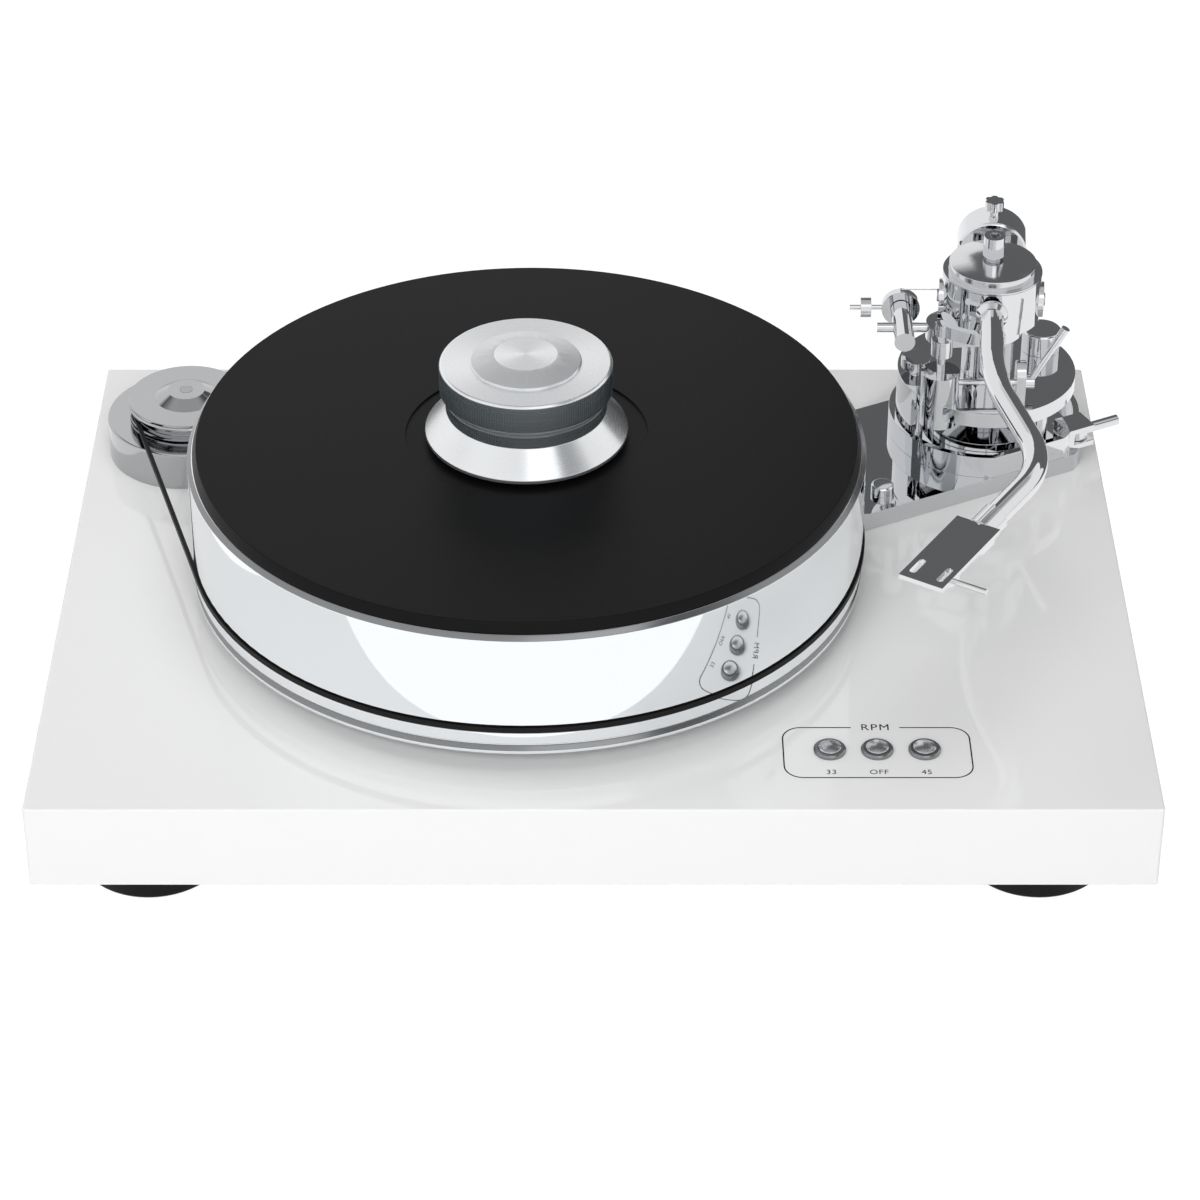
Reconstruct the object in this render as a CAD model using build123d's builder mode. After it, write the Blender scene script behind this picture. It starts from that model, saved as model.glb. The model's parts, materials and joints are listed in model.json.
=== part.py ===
from build123d import *
import math
import os

os.makedirs("parts", exist_ok=True)

# Belt-drive record player: lacquered plinth, heavy platter, outboard motor and S-shaped tonearm.
# Millimetres, +Z up. The origin is on the surface it stands on, in the middle of its overall box.
# Heights named _z are above the deck, the top face of the plinth.

# Clearances
run_gap = 0.05
slide_gap = 0.1
body_gap = 0.3

# Plinth and feet
plinth_w = 480.0
plinth_d = 355.0
plinth_t = 40.0
plinth_corner_r = 1.5
plinth_edge_r = 0.8
foot_h = 20.0
foot_r = 32.0
foot_top_r = 27.0
foot_inset_x = 48.0
foot_inset_y = 44.5
pad_r = 28.0
pad_t = 1.5
stud_r = 3.0
stud_h = 12.0

# Platter, mat and main bearing
platter_dx = -30.0
platter_dy = 0.0
platter_r = 151.5
platter_gap = 9.6
platter_h = 60.4
platter_bevel = 2.0
rim_w = 19.5
web_t = 25.0
hub_r = 40.0
hub_rise = 4.4
skirt_h = 1.6
waist_depth = 2.0
waist_h = 1.7
mat_t = 5.0
mat_r = 149.0
mat_taper = 1.8
mat_lip_h = 1.0
label_r = 54.0
label_depth = 0.8
shaft_r = 8.0
shaft_foot_z = -22.0
collar_r = 16.0
pin_r = 3.6
pin_rise = 13.0
pin_seat_h = 6.0
housing_r = 15.0
housing_flange_r = 26.0
housing_flange_t = 4.0
housing_floor_t = 4.0
thrust_r = 6.5
thrust_t = 6.0

# Record clamp
clamp_pad_r = 40.0
clamp_pad_t = 2.5
clamp_skirt_r = 45.2
clamp_skirt_rim = 1.8
clamp_waist_r = 35.7
clamp_cone_h = 12.3
clamp_neck_h = 8.0
clamp_cap_r = 38.2
clamp_cap_h = 15.0
clamp_cap_bevel = 0.8
clamp_boss_r = 24.5
clamp_boss_rim = 1.0
clamp_boss_top_r = 14.0
clamp_boss_h = 4.0

# Motor, pulley and belt
motor_gap = 5.9
motor_azimuth = 146.8
motor_r = 38.0
motor_h = 19.0
motor_wall = 3.0
motor_bevel = 0.7
motor_core_r = 26.0
motor_core_depth = 24.0
motor_well_gap = 2.0
motor_eye_r = 6.0
motor_shaft_r = 3.0
motor_shaft_depth = 14.0
pulley_r = 27.4
pulley_gap = 0.6
pulley_flange_t = 1.2
pulley_crown_t = 3.6
pulley_hub_r = 15.0
pulley_hub_top_r = 8.8
pulley_hub_h = 3.5
belt_w = 2.6
belt_t = 1.8
belt_groove_depth = 1.2
belt_side_gap = 0.6

# Armboard and arm base
pivot_span = 241.9
pivot_azimuth = 27.05
board_w = 82.0
board_t = 9.0
board_reach = 108.0
board_end_r = 48.5
bolt_from_rim = 18.9
board_bolt_y = 27.3
bolt_head_r = 5.3
bolt_head_h = 4.5
bolt_head_bevel = 0.8
bolt_shank_r = 2.0
bolt_shank_h = 14.0
ring_r = 45.2
ring_h = 11.0
ring_wall = 3.0
ring_floor_t = 4.0
lug_x = 33.0
lug_y = -31.0
lug_w = 13.0
lug_back = 9.0
lug_front = 5.5
lever_r = 2.5
lever_reach = 17.3
lever_eye_r = 5.0
lever_pin_r = 2.0
post_r = 3.5
post_ring_r = 34.0
post_count = 3
post_h = 21.5
post_azimuth = -72.0
platform_r = 42.0
platform_t = 7.5
platform_skirt_h = 12.0
platform_skirt_wall = 3.0
platform_skirt_azimuth = 150.0
platform_skirt_arc = 60.0
pillar_r = 12.0
pillar_foot_r = 29.0
pillar_foot_t = 4.0
pillar_foot_cone = 4.0
flange_r = 15.7
flange_t = 8.4
eye_dx = -20.0
eye_r = 10.3

# Tonearm
line_turn = -4.66
tube_over_mat = 12.5
tube_r = 5.5
tube_short = 8.0
second_bend_short = 63.6
first_bend_reach = 83.5
first_bend_r = 150.0
second_bend_r = 55.0
ferrule_r = 7.5
ferrule_start = 26.0
ferrule_nose = 2.2
ferrule_taper = 2.4
ferrule_len = 6.0
neck_r = 3.5
drum_r = 23.2
drum_h = 22.5
drum_below = 15.5
drum_wall = 3.0
drum_gap = 0.5
aperture_r = 5.6
cap_r = 20.3
cap_h = 7.2
cap_flange_t = 1.0
cap_plug_h = 2.0
cap_dome_h = 2.0
knob_r = 5.0
knob_h = 11.8
knob_neck_r = 3.4
knob_neck_h = 1.6
knob_socket_r = 2.6
knob_socket_h = 3.0
yaw_shaft_r = 4.0
yaw_shaft_len = 25.0
pivot_drop = 7.0
pivot_r = 4.8
pivot_half = 13.0
saddle_w = 12.0
cheek_r = 8.3
cheek_proud = 1.2
pivot_screw_r = 3.0
pivot_screw_proud = 0.8
pivot_tip_r = 1.0
pivot_tip_len = 2.4

# Headshell
shell_rear_dx = -22.9
shell_rear_dy = -210.1
shell_heading = 148.0
shell_len = 52.0
shell_w = 20.5
shell_t = 2.2
shell_lift = 6.0
slot_len = 11.0
slot_w = 3.0
slot_pitch = 12.7
slot_from_front = 9.5
collar_len = 14.0
collar_out_r = 6.6
collar_rib_r = 0.7
collar_ribs = 3
collar_rib_from = 60.0
collar_rib_span = 90.0
lift_rod_r = 1.25
lift_rod_at = 40.0
lift_rod_len = 24.6
lift_tab_w = 7.0
lift_tab_d = 8.0
shell_block_len = 11.0
shell_block_w = 17.0
shell_block_h = 5.0
shell_block_at = 1.0

# Counterweight
rod_tail = 62.0
weight_r = 16.5
weight_len = 18.0
weight_at = 28.0
weight_bevel = 1.0
weight_screw_at = 33.5
weight_screw_r = 2.3
weight_screw_h = 5.0
weight_screw_into = 5.0
weight_head_r = 4.6
weight_head_h = 4.5
weight_notch_r = 1.6
weight_notches = 6

# Lift and its lever
lift_radius = 35.6
lift_azimuth = -132.7
lift_end_azimuth = -84.0
lift_bar_w = 3.6
lift_bar_t = 6.0
lift_leaf_r = 3.2
lift_pin_r = 2.0
lift_nut_r = 5.0
lift_nut_h = 8.5
lift_nut_drop = 2.2
lift_cylinder_r = 9.0
lift_cylinder_top_z = 56.0
lift_cylinder_h = 27.0
lift_pin_depth = 14.0
cue_z = 50.0
cue_shaft_r = 1.5
cue_shaft_into = 4.0
cue_hub_r = 3.2
cue_hub_w = 4.0
cue_rod_r = 1.6
cue_rod_run = 15.0
cue_rod_rise = 29.0
cue_grip_r = 2.1
cue_grip_share = 0.3
bracket_x = 11.0
bracket_t = 4.4
bracket_w = 12.0
bracket_h = 19.0

# Skating compensator on its outrigger
skate_dx = -41.0
skate_front_y = -21.0
skate_rear_y = 9.0
skate_housing_r = 4.85
outrigger_r = 2.35
outrigger_y = -7.0
outrigger_end_x = -53.2
skate_below = 3.75
wheel_r = 9.0
wheel_t = 4.0
wheel_gap = 0.6
axle_r = 1.5
axle_len = 12.0
skate_rod_r = 1.15
skate_rod_len = 15.0
skate_weight_r = 4.85
skate_weight_w = 5.0
skate_weight_at = 7.5
thread_r = 0.3

# Small pieces on the platform
lead_cap_dx = 27.3
lead_cap_dy = 17.8
lead_cap_r = 9.2
lead_cap_h = 11.0
lead_cap_bevel = 0.8
lock_dx = -33.8
lock_dy = -3.8
lock_head_r = 7.0
lock_head_h = 4.5
lock_neck_h = 3.5
lock_neck_r = 2.6

# Speed buttons and electronics
button_inset_x = 118.7
button_inset_y = 41.5
button_pitch = 20.3
button_r = 5.0
button_rise = 2.4
button_dome = 0.8
button_skirt = 1.5
button_stem_r = 2.0
button_stem_h = 6.7
button_travel = 1.2
bezel_r = 7.0
bezel_h = 2.0
bezel_bevel = 0.7
bezel_sleeve_r = 6.2
bezel_sleeve_h = 5.0
skin_t = 6.0
pocket_w = 64.0
pocket_d = 62.0
cover_t = 3.0
cover_ledge = 6.0
cover_gap = 0.2
board_pcb_w = 58.0
board_pcb_d = 46.0
board_pcb_t = 1.6
boss_r = 3.5
boss_h = 8.0
boss_inset = 6.0
switch_w = 6.0
switch_h = 4.0
switch_tip_r = 1.75

# Connections at the back
panel_inset = 110.0
panel_w = 84.0
panel_h = 28.0
panel_t = 2.0
panel_lip = 4.0
panel_pocket = 26.0
panel_gap = 0.2
socket_pitch = 18.0
socket_r = 4.15
socket_reach = 9.0
socket_flange_r = 6.4
socket_flange_t = 1.6
socket_tail = 10.0
socket_hole_r = 1.6
terminal_r = 2.0
terminal_nut_r = 5.0
terminal_nut_h = 5.0
inlet_r = 5.5
inlet_flange_r = 7.0
inlet_flange_t = 1.2
inlet_tail = 12.0
inlet_hole_r = 2.75
inlet_hole_depth = 9.0

# Heights above the deck that follow from the sizes
deck_z = foot_h + plinth_t
platter_top = platter_gap + platter_h
mat_top = platter_top + mat_t
label_z = mat_top - label_depth
belt_z = motor_h + pulley_gap + pulley_flange_t + belt_side_gap + belt_w / 2
groove_half = belt_w / 2 + belt_side_gap
pulley_groove_r = pulley_r - belt_t - belt_groove_depth
belt_platter_r = platter_r - belt_groove_depth + body_gap
belt_pulley_r = pulley_groove_r + body_gap
ring_floor = board_t + ring_floor_t
platform_z = ring_floor + post_h
platform_top = platform_z + platform_t
tube_z = mat_top + tube_over_mat
drum_z = tube_z - drum_below
drum_top = drum_z + drum_h
flange_z = drum_z - drum_gap - flange_t
skate_z = drum_z - skate_below
pivot_z = tube_z - pivot_drop
lift_top = tube_z - tube_r - body_gap
lever_z = board_t + ring_h / 2

# Places on the deck, from the middle of the plinth: the motor and the arm's pivot stand round the spindle.
motor_span = platter_r + motor_r + motor_gap
motor_dx = platter_dx + motor_span * math.cos(math.radians(motor_azimuth))
motor_dy = platter_dy + motor_span * math.sin(math.radians(motor_azimuth))
turn_cos = math.cos(math.radians(pivot_azimuth))
turn_sin = math.sin(math.radians(pivot_azimuth))
pivot_dx = platter_dx + pivot_span * turn_cos
pivot_dy = platter_dy + pivot_span * turn_sin
board_bolt_x = platter_r + bolt_from_rim - pivot_span
button_dx = plinth_w / 2 - button_inset_x
button_dy = button_inset_y - plinth_d / 2
panel_dx = plinth_w / 2 - panel_inset
lever_tip = lug_x + lever_eye_r + lever_reach

# The locking lever overhangs the right side and the sockets the back, so the plinth sits off centre.
lever_tip_dx = pivot_dx + lever_tip * turn_cos - (lug_y - lever_r) * turn_sin
plinth_x = -(lever_tip_dx - plinth_w / 2) / 2
plinth_y = -socket_reach / 2


def level_frame(dx, dy, turn=0.0):
    """Frame on the deck, placed from the middle of the plinth and turned about +Z."""
    heading = (math.cos(math.radians(turn)), math.sin(math.radians(turn)), 0)
    return Plane(origin=(plinth_x + dx, plinth_y + dy, deck_z), x_dir=heading, z_dir=(0, 0, 1))


def moved(frame, x, y, z=0.0):
    """The same frame with its origin at a point given in that frame."""
    return Plane(origin=frame.from_local_coords((x, y, z)), x_dir=frame.x_dir, z_dir=frame.z_dir)


def facing_x(frame, x, y, z):
    """Plane at a point of the frame, with its normal along the frame's x axis."""
    return Plane(origin=frame.from_local_coords((x, y, z)), x_dir=frame.y_dir, z_dir=frame.x_dir)


def facing_y(frame, x, y, z):
    """Plane at a point of the frame, with its normal along the frame's y axis and its own y axis up."""
    return Plane(origin=frame.from_local_coords((x, y, z)), x_dir=-frame.x_dir, z_dir=frame.y_dir)


def axis_of(frame):
    """Line through the frame's origin, along its normal."""
    return Axis(frame.origin, frame.z_dir)


def half_section(frame, *outline):
    """Face to turn about the frame's normal, drawn as (radius, distance along the normal)."""
    with BuildSketch(section_plane(frame)) as section:
        with BuildLine():
            Polyline(*outline, close=True)
        make_face()
    return section.sketch


def section_plane(frame):
    """Plane through the frame's normal: x is the radius, y the distance along the normal."""
    return Plane(origin=frame.origin, x_dir=frame.x_dir, z_dir=-frame.y_dir)


def belt_loop(grow):
    """Loop round the platter and the pulley, grown outward from the inside of the belt."""
    with BuildSketch(deck.offset(belt_z - belt_w / 2)) as loop:
        with Locations((platter_dx, platter_dy)):
            Circle(belt_platter_r + grow)
        with Locations((motor_dx, motor_dy)):
            Circle(belt_pulley_r + grow)
        make_hull()
    return loop.sketch


def flatted_disc(frame, radius, width):
    """Disc with two flats, one on either side of the frame's x axis."""
    with BuildSketch(frame) as outline:
        Circle(radius)
        Rectangle(2 * radius, width, mode=Mode.INTERSECT)
    return outline.sketch


deck = level_frame(0, 0)
underside = deck.offset(-plinth_t)
platter_frame = level_frame(platter_dx, platter_dy)
motor_frame = level_frame(motor_dx, motor_dy)
arm_frame = level_frame(pivot_dx, pivot_dy)
armboard_frame = level_frame(pivot_dx, pivot_dy, pivot_azimuth)
line_frame = level_frame(pivot_dx, pivot_dy, line_turn)
rear_frame = facing_y(deck, panel_dx, plinth_d / 2, -plinth_t / 2)
foot_spots = GridLocations(plinth_w - 2 * foot_inset_x, plinth_d - 2 * foot_inset_y, 2, 2)
button_spots = [button_dx - button_pitch, button_dx, button_dx + button_pitch]
boss_span_x = board_pcb_w - 2 * boss_inset
boss_span_y = board_pcb_d - 2 * boss_inset
board_top = -skin_t - boss_h
lift_x = lift_radius * math.cos(math.radians(lift_azimuth))
lift_y = lift_radius * math.sin(math.radians(lift_azimuth))
shell_frame = Plane(
    origin=arm_frame.from_local_coords((shell_rear_dx, shell_rear_dy, tube_z + shell_lift)),
    x_dir=(math.cos(math.radians(shell_heading + 90)), math.sin(math.radians(shell_heading + 90)), 0),
    z_dir=(0, 0, 1),
)

# Plinth: a lacquered slab, open below for the electronics, bored for the bearing and the motor
with BuildPart() as plinth:
    with BuildSketch(underside):
        Rectangle(plinth_w, plinth_d)
    extrude(amount=plinth_t)
    fillet(plinth.edges().filter_by(Axis.Z), plinth_corner_r)
    fillet(plinth.faces().sort_by(Axis.Z)[-1].edges(), plinth_edge_r)
    with BuildSketch(platter_frame):
        Circle(housing_r)
    extrude(amount=-plinth_t, mode=Mode.SUBTRACT)
    with BuildSketch(motor_frame):
        Circle(motor_core_r + motor_well_gap)
    extrude(amount=-(motor_core_depth + motor_well_gap), mode=Mode.SUBTRACT)
    with BuildSketch(underside):
        with Locations((button_dx, button_dy)):
            Rectangle(pocket_w, pocket_d)
    extrude(amount=plinth_t - skin_t, mode=Mode.SUBTRACT)
    with BuildSketch(underside):
        with Locations((button_dx, button_dy)):
            Rectangle(pocket_w + 2 * cover_ledge, pocket_d + cover_ledge)
    extrude(amount=cover_t, mode=Mode.SUBTRACT)
    with BuildSketch(deck.offset(-skin_t)):
        with Locations((button_dx, button_dy)):
            with GridLocations(boss_span_x, boss_span_y, 2, 2):
                Circle(boss_r)
    extrude(amount=-boss_h)
    with BuildSketch(deck):
        with Locations([(x, button_dy) for x in button_spots]):
            Circle(bezel_sleeve_r)
    extrude(amount=-skin_t, mode=Mode.SUBTRACT)
    with BuildSketch(rear_frame):
        Rectangle(panel_w, panel_h)
    extrude(amount=-panel_t, mode=Mode.SUBTRACT)
    with BuildSketch(rear_frame):
        Rectangle(panel_w - 2 * panel_lip, panel_h - 2 * panel_lip)
    extrude(amount=-panel_pocket, mode=Mode.SUBTRACT)
    with BuildSketch(underside):
        with foot_spots:
            Circle(stud_r + body_gap)
    extrude(amount=stud_h + body_gap, mode=Mode.SUBTRACT)
    with BuildSketch(armboard_frame):
        with Locations((board_bolt_x, board_bolt_y), (board_bolt_x, -board_bolt_y)):
            Circle(bolt_shank_r + slide_gap)
    extrude(amount=-bolt_shank_h, mode=Mode.SUBTRACT)
plinth.part.label = "plinth"
export_step(plinth.part, "parts/plinth.step")

# Plate that closes the electronics pocket from below
with BuildPart() as base_cover:
    with BuildSketch(underside):
        with Locations((button_dx, button_dy)):
            Rectangle(pocket_w + 2 * cover_ledge - 2 * cover_gap, pocket_d + cover_ledge - 2 * cover_gap)
    extrude(amount=cover_t)
base_cover.part.label = "base_cover"
export_step(base_cover.part, "parts/base_cover.step")

# Feet: turned pucks with a threaded stud, each on a thin pad
with BuildPart() as feet:
    for place in foot_spots.locations:
        puck = moved(underside, place.position.X, place.position.Y)
        revolve(
            half_section(
                puck,
                (0, stud_h),
                (stud_r, stud_h),
                (stud_r, 0),
                (foot_top_r, 0),
                (foot_r, foot_top_r - foot_r),
                (foot_r, 2 * pad_t - foot_h),
                (foot_r - pad_t, pad_t - foot_h),
                (0, pad_t - foot_h),
            ),
            axis=axis_of(puck),
        )
feet.part.label = "feet"
export_step(feet.part, "parts/feet.step")

with BuildPart() as foot_pads:
    with BuildSketch(underside.offset(-foot_h)):
        with foot_spots:
            Circle(pad_r)
    extrude(amount=pad_t)
foot_pads.part.label = "foot_pads"
export_step(foot_pads.part, "parts/foot_pads.step")

# Main bearing: a flanged housing in the plinth, a thrust pad on its floor and the shaft that turns on it
housing_floor_z = shaft_foot_z - body_gap - thrust_t
with BuildPart() as bearing_housing:
    revolve(
        half_section(
            platter_frame,
            (0, housing_floor_z),
            (shaft_r + run_gap, housing_floor_z),
            (shaft_r + run_gap, housing_flange_t),
            (housing_flange_r, housing_flange_t),
            (housing_flange_r, 0),
            (housing_r, 0),
            (housing_r, housing_floor_z - housing_floor_t),
            (0, housing_floor_z - housing_floor_t),
        ),
        axis=axis_of(platter_frame),
    )
bearing_housing.part.label = "bearing_housing"
export_step(bearing_housing.part, "parts/bearing_housing.step")

with BuildPart() as thrust_pad:
    with BuildSketch(platter_frame.offset(housing_floor_z)):
        Circle(thrust_r)
    extrude(amount=thrust_t)
thrust_pad.part.label = "thrust_pad"
export_step(thrust_pad.part, "parts/thrust_pad.step")

hub_z = platter_gap + hub_rise
pin_seat_z = platter_top - pin_seat_h
with BuildPart() as spindle:
    revolve(
        half_section(
            platter_frame,
            (0, shaft_foot_z),
            (shaft_r, shaft_foot_z),
            (shaft_r, platter_gap),
            (collar_r, platter_gap),
            (collar_r, hub_z),
            (shaft_r, hub_z),
            (shaft_r, pin_seat_z),
            (pin_r, pin_seat_z),
            (pin_r, mat_top + pin_rise - pin_r / 2),
            (pin_r / 2, mat_top + pin_rise),
            (0, mat_top + pin_rise),
        ),
        axis=axis_of(platter_frame),
    )
spindle.part.label = "spindle"
export_step(spindle.part, "parts/spindle.step")

# Platter: a deep turned rim with a waisted skirt, a belt groove and bevelled edges
skirt_top = platter_gap + skirt_h
waist_z = skirt_top + waist_depth
with BuildPart() as platter:
    revolve(
        half_section(
            platter_frame,
            (shaft_r, hub_z),
            (hub_r, hub_z),
            (hub_r, platter_top - web_t),
            (platter_r - rim_w, platter_top - web_t),
            (platter_r - rim_w, platter_gap),
            (platter_r, platter_gap),
            (platter_r, skirt_top),
            (platter_r - waist_depth, waist_z),
            (platter_r - waist_depth, waist_z + waist_h),
            (platter_r, waist_z + waist_h),
            (platter_r, belt_z - groove_half),
            (platter_r - belt_groove_depth, belt_z - groove_half),
            (platter_r - belt_groove_depth, belt_z + groove_half),
            (platter_r, belt_z + groove_half),
            (platter_r, platter_top - platter_bevel),
            (platter_r - platter_bevel, platter_top),
            (pin_r, platter_top),
            (pin_r, pin_seat_z),
            (shaft_r, pin_seat_z),
        ),
        axis=axis_of(platter_frame),
    )
platter.part.label = "platter"
export_step(platter.part, "parts/platter.step")

# Damping ring that fills the hollow under the platter
with BuildPart() as damping_ring:
    with BuildSketch(platter_frame.offset(hub_z)):
        Circle(platter_r - rim_w)
        Circle(hub_r, mode=Mode.SUBTRACT)
    extrude(amount=platter_top - web_t - hub_z)
damping_ring.part.label = "damping_ring"
export_step(damping_ring.part, "parts/damping_ring.step")

with BuildPart() as platter_mat:
    revolve(
        half_section(
            platter_frame,
            (pin_r + slide_gap, platter_top),
            (mat_r, platter_top),
            (mat_r, platter_top + mat_lip_h),
            (mat_r - mat_taper, mat_top),
            (label_r, mat_top),
            (label_r, label_z),
            (pin_r + slide_gap, label_z),
        ),
        axis=axis_of(platter_frame),
    )
platter_mat.part.label = "platter_mat"
export_step(platter_mat.part, "parts/platter_mat.step")

# Record clamp: a soft pad, a flared base and a heavy grip with a conical boss
clamp_z = label_z + clamp_pad_t
clamp_cone_z = clamp_z + clamp_cone_h
clamp_neck_z = clamp_cone_z + clamp_neck_h
clamp_cap_z = clamp_neck_z + clamp_cap_h
clamp_bore_r = pin_r + run_gap
with BuildPart() as clamp_pad:
    with BuildSketch(platter_frame.offset(label_z)):
        Circle(clamp_pad_r)
        Circle(clamp_bore_r, mode=Mode.SUBTRACT)
    extrude(amount=clamp_pad_t)
clamp_pad.part.label = "clamp_pad"
export_step(clamp_pad.part, "parts/clamp_pad.step")

with BuildPart() as clamp_base:
    revolve(
        half_section(
            platter_frame,
            (clamp_bore_r, clamp_z),
            (clamp_skirt_r, clamp_z),
            (clamp_skirt_r, clamp_z + clamp_skirt_rim),
            (clamp_waist_r, clamp_cone_z),
            (clamp_waist_r, clamp_neck_z),
            (clamp_bore_r, clamp_neck_z),
        ),
        axis=axis_of(platter_frame),
    )
clamp_base.part.label = "clamp_base"
export_step(clamp_base.part, "parts/clamp_base.step")

with BuildPart() as clamp_grip:
    revolve(
        half_section(
            platter_frame,
            (0, clamp_neck_z),
            (clamp_cap_r - 2 * clamp_cap_bevel, clamp_neck_z),
            (clamp_cap_r, clamp_neck_z + 2 * clamp_cap_bevel),
            (clamp_cap_r, clamp_cap_z - clamp_cap_bevel),
            (clamp_cap_r - clamp_cap_bevel, clamp_cap_z),
            (clamp_boss_r, clamp_cap_z),
            (clamp_boss_r, clamp_cap_z + clamp_boss_rim),
            (clamp_boss_top_r, clamp_cap_z + clamp_boss_h),
            (0, clamp_cap_z + clamp_boss_h),
        ),
        axis=axis_of(platter_frame),
    )
clamp_grip.part.label = "clamp_grip"
export_step(clamp_grip.part, "parts/clamp_grip.step")

# Motor: a satin cup over the motor core, with a grooved pulley above it
with BuildPart() as motor_housing:
    revolve(
        half_section(
            motor_frame,
            (motor_r - motor_wall, 0),
            (motor_r, 0),
            (motor_r, motor_h - motor_bevel),
            (motor_r - motor_bevel, motor_h),
            (motor_eye_r, motor_h),
            (motor_eye_r, motor_h - motor_wall),
            (motor_r - motor_wall, motor_h - motor_wall),
        ),
        axis=axis_of(motor_frame),
    )
motor_housing.part.label = "motor_housing"
export_step(motor_housing.part, "parts/motor_housing.step")

shaft_bore_z = -motor_shaft_depth - body_gap
with BuildPart() as motor:
    revolve(
        half_section(
            motor_frame,
            (0, -motor_core_depth),
            (motor_core_r, -motor_core_depth),
            (motor_core_r, motor_h - motor_wall),
            (motor_shaft_r + run_gap, motor_h - motor_wall),
            (motor_shaft_r + run_gap, shaft_bore_z),
            (0, shaft_bore_z),
        ),
        axis=axis_of(motor_frame),
    )
motor.part.label = "motor"
export_step(motor.part, "parts/motor.step")

pulley_z = motor_h + pulley_gap
pulley_top = belt_z + groove_half + pulley_crown_t
crown_line_z = pulley_top - pulley_crown_t / 2
with BuildPart() as pulley:
    revolve(
        half_section(
            motor_frame,
            (motor_shaft_r, pulley_z),
            (pulley_r, pulley_z),
            (pulley_r, belt_z - groove_half),
            (pulley_groove_r, belt_z - groove_half),
            (pulley_groove_r, belt_z + groove_half),
            (pulley_r, belt_z + groove_half),
            (pulley_r, crown_line_z - pulley_gap),
            (pulley_r - pulley_gap, crown_line_z),
            (pulley_r, crown_line_z + pulley_gap),
            (pulley_r, pulley_top),
            (pulley_hub_r, pulley_top),
            (pulley_hub_top_r, pulley_top + pulley_hub_h),
            (motor_shaft_r, pulley_top + pulley_hub_h),
        ),
        axis=axis_of(motor_frame),
    )
pulley.part.label = "pulley"
export_step(pulley.part, "parts/pulley.step")

with BuildPart() as motor_shaft:
    with BuildSketch(motor_frame.offset(-motor_shaft_depth)):
        Circle(motor_shaft_r)
    extrude(amount=motor_shaft_depth + pulley_top + pulley_hub_h)
motor_shaft.part.label = "motor_shaft"
export_step(motor_shaft.part, "parts/motor_shaft.step")

# Drive belt: a flat loop round the platter and the pulley
with BuildPart() as drive_belt:
    extrude(belt_loop(belt_t), amount=belt_w)
    extrude(belt_loop(0), amount=belt_w, mode=Mode.SUBTRACT)
drive_belt.part.label = "drive_belt"
export_step(drive_belt.part, "parts/drive_belt.step")

# Armboard: a polished strip that runs under the platter's edge, round about the arm's pivot
bolt_spots = Locations((board_bolt_x, board_bolt_y), (board_bolt_x, -board_bolt_y))
with BuildPart() as armboard:
    extrude(flatted_disc(armboard_frame, board_end_r, board_w), amount=board_t)
    with BuildSketch(armboard_frame):
        with Locations((-board_reach / 2, 0)):
            Rectangle(board_reach, board_w)
    extrude(amount=board_t)
    with BuildSketch(armboard_frame):
        with bolt_spots:
            Circle(bolt_shank_r + slide_gap)
    extrude(amount=board_t, mode=Mode.SUBTRACT)
armboard.part.label = "armboard"
export_step(armboard.part, "parts/armboard.step")

with BuildPart() as armboard_bolts:
    for side in (board_bolt_y, -board_bolt_y):
        bolt_frame = moved(armboard_frame, board_bolt_x, side, board_t)
        revolve(
            half_section(
                bolt_frame,
                (0, slide_gap - board_t - bolt_shank_h),
                (bolt_shank_r, slide_gap - board_t - bolt_shank_h),
                (bolt_shank_r, 0),
                (bolt_head_r, 0),
                (bolt_head_r, bolt_head_h - bolt_head_bevel),
                (bolt_head_r - bolt_head_bevel, bolt_head_h),
                (0, bolt_head_h),
            ),
            axis=axis_of(bolt_frame),
        )
armboard_bolts.part.label = "armboard_bolts"
export_step(armboard_bolts.part, "parts/armboard_bolts.step")

# Arm base: a cup with two flats and a forked lug that holds the locking lever on its pin
lever_slot_h = 2 * (lever_r + body_gap)
with BuildPart() as arm_base_ring:
    extrude(flatted_disc(armboard_frame.offset(board_t), ring_r, board_w), amount=ring_h)
    extrude(
        flatted_disc(armboard_frame.offset(ring_floor), ring_r - ring_wall, board_w - 2 * ring_wall),
        amount=ring_h - ring_floor_t,
        mode=Mode.SUBTRACT,
    )
    with BuildSketch(armboard_frame.offset(board_t)):
        with Locations((lug_x - lug_back, lug_y)):
            Rectangle(lug_back + lug_front, lug_w, align=(Align.MIN, Align.CENTER))
    extrude(amount=ring_h)
    with BuildSketch(armboard_frame.offset(lever_z - lever_slot_h / 2)):
        with Locations((lug_x - lever_eye_r - body_gap, lug_y)):
            Rectangle(2 * lug_w, 2 * lug_w, align=(Align.MIN, Align.CENTER))
    extrude(amount=lever_slot_h, mode=Mode.SUBTRACT)
    with BuildSketch(armboard_frame.offset(board_t)):
        with Locations((lug_x, lug_y)):
            Circle(lever_pin_r)
    extrude(amount=ring_h)
arm_base_ring.part.label = "arm_base_ring"
export_step(arm_base_ring.part, "parts/arm_base_ring.step")

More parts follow.
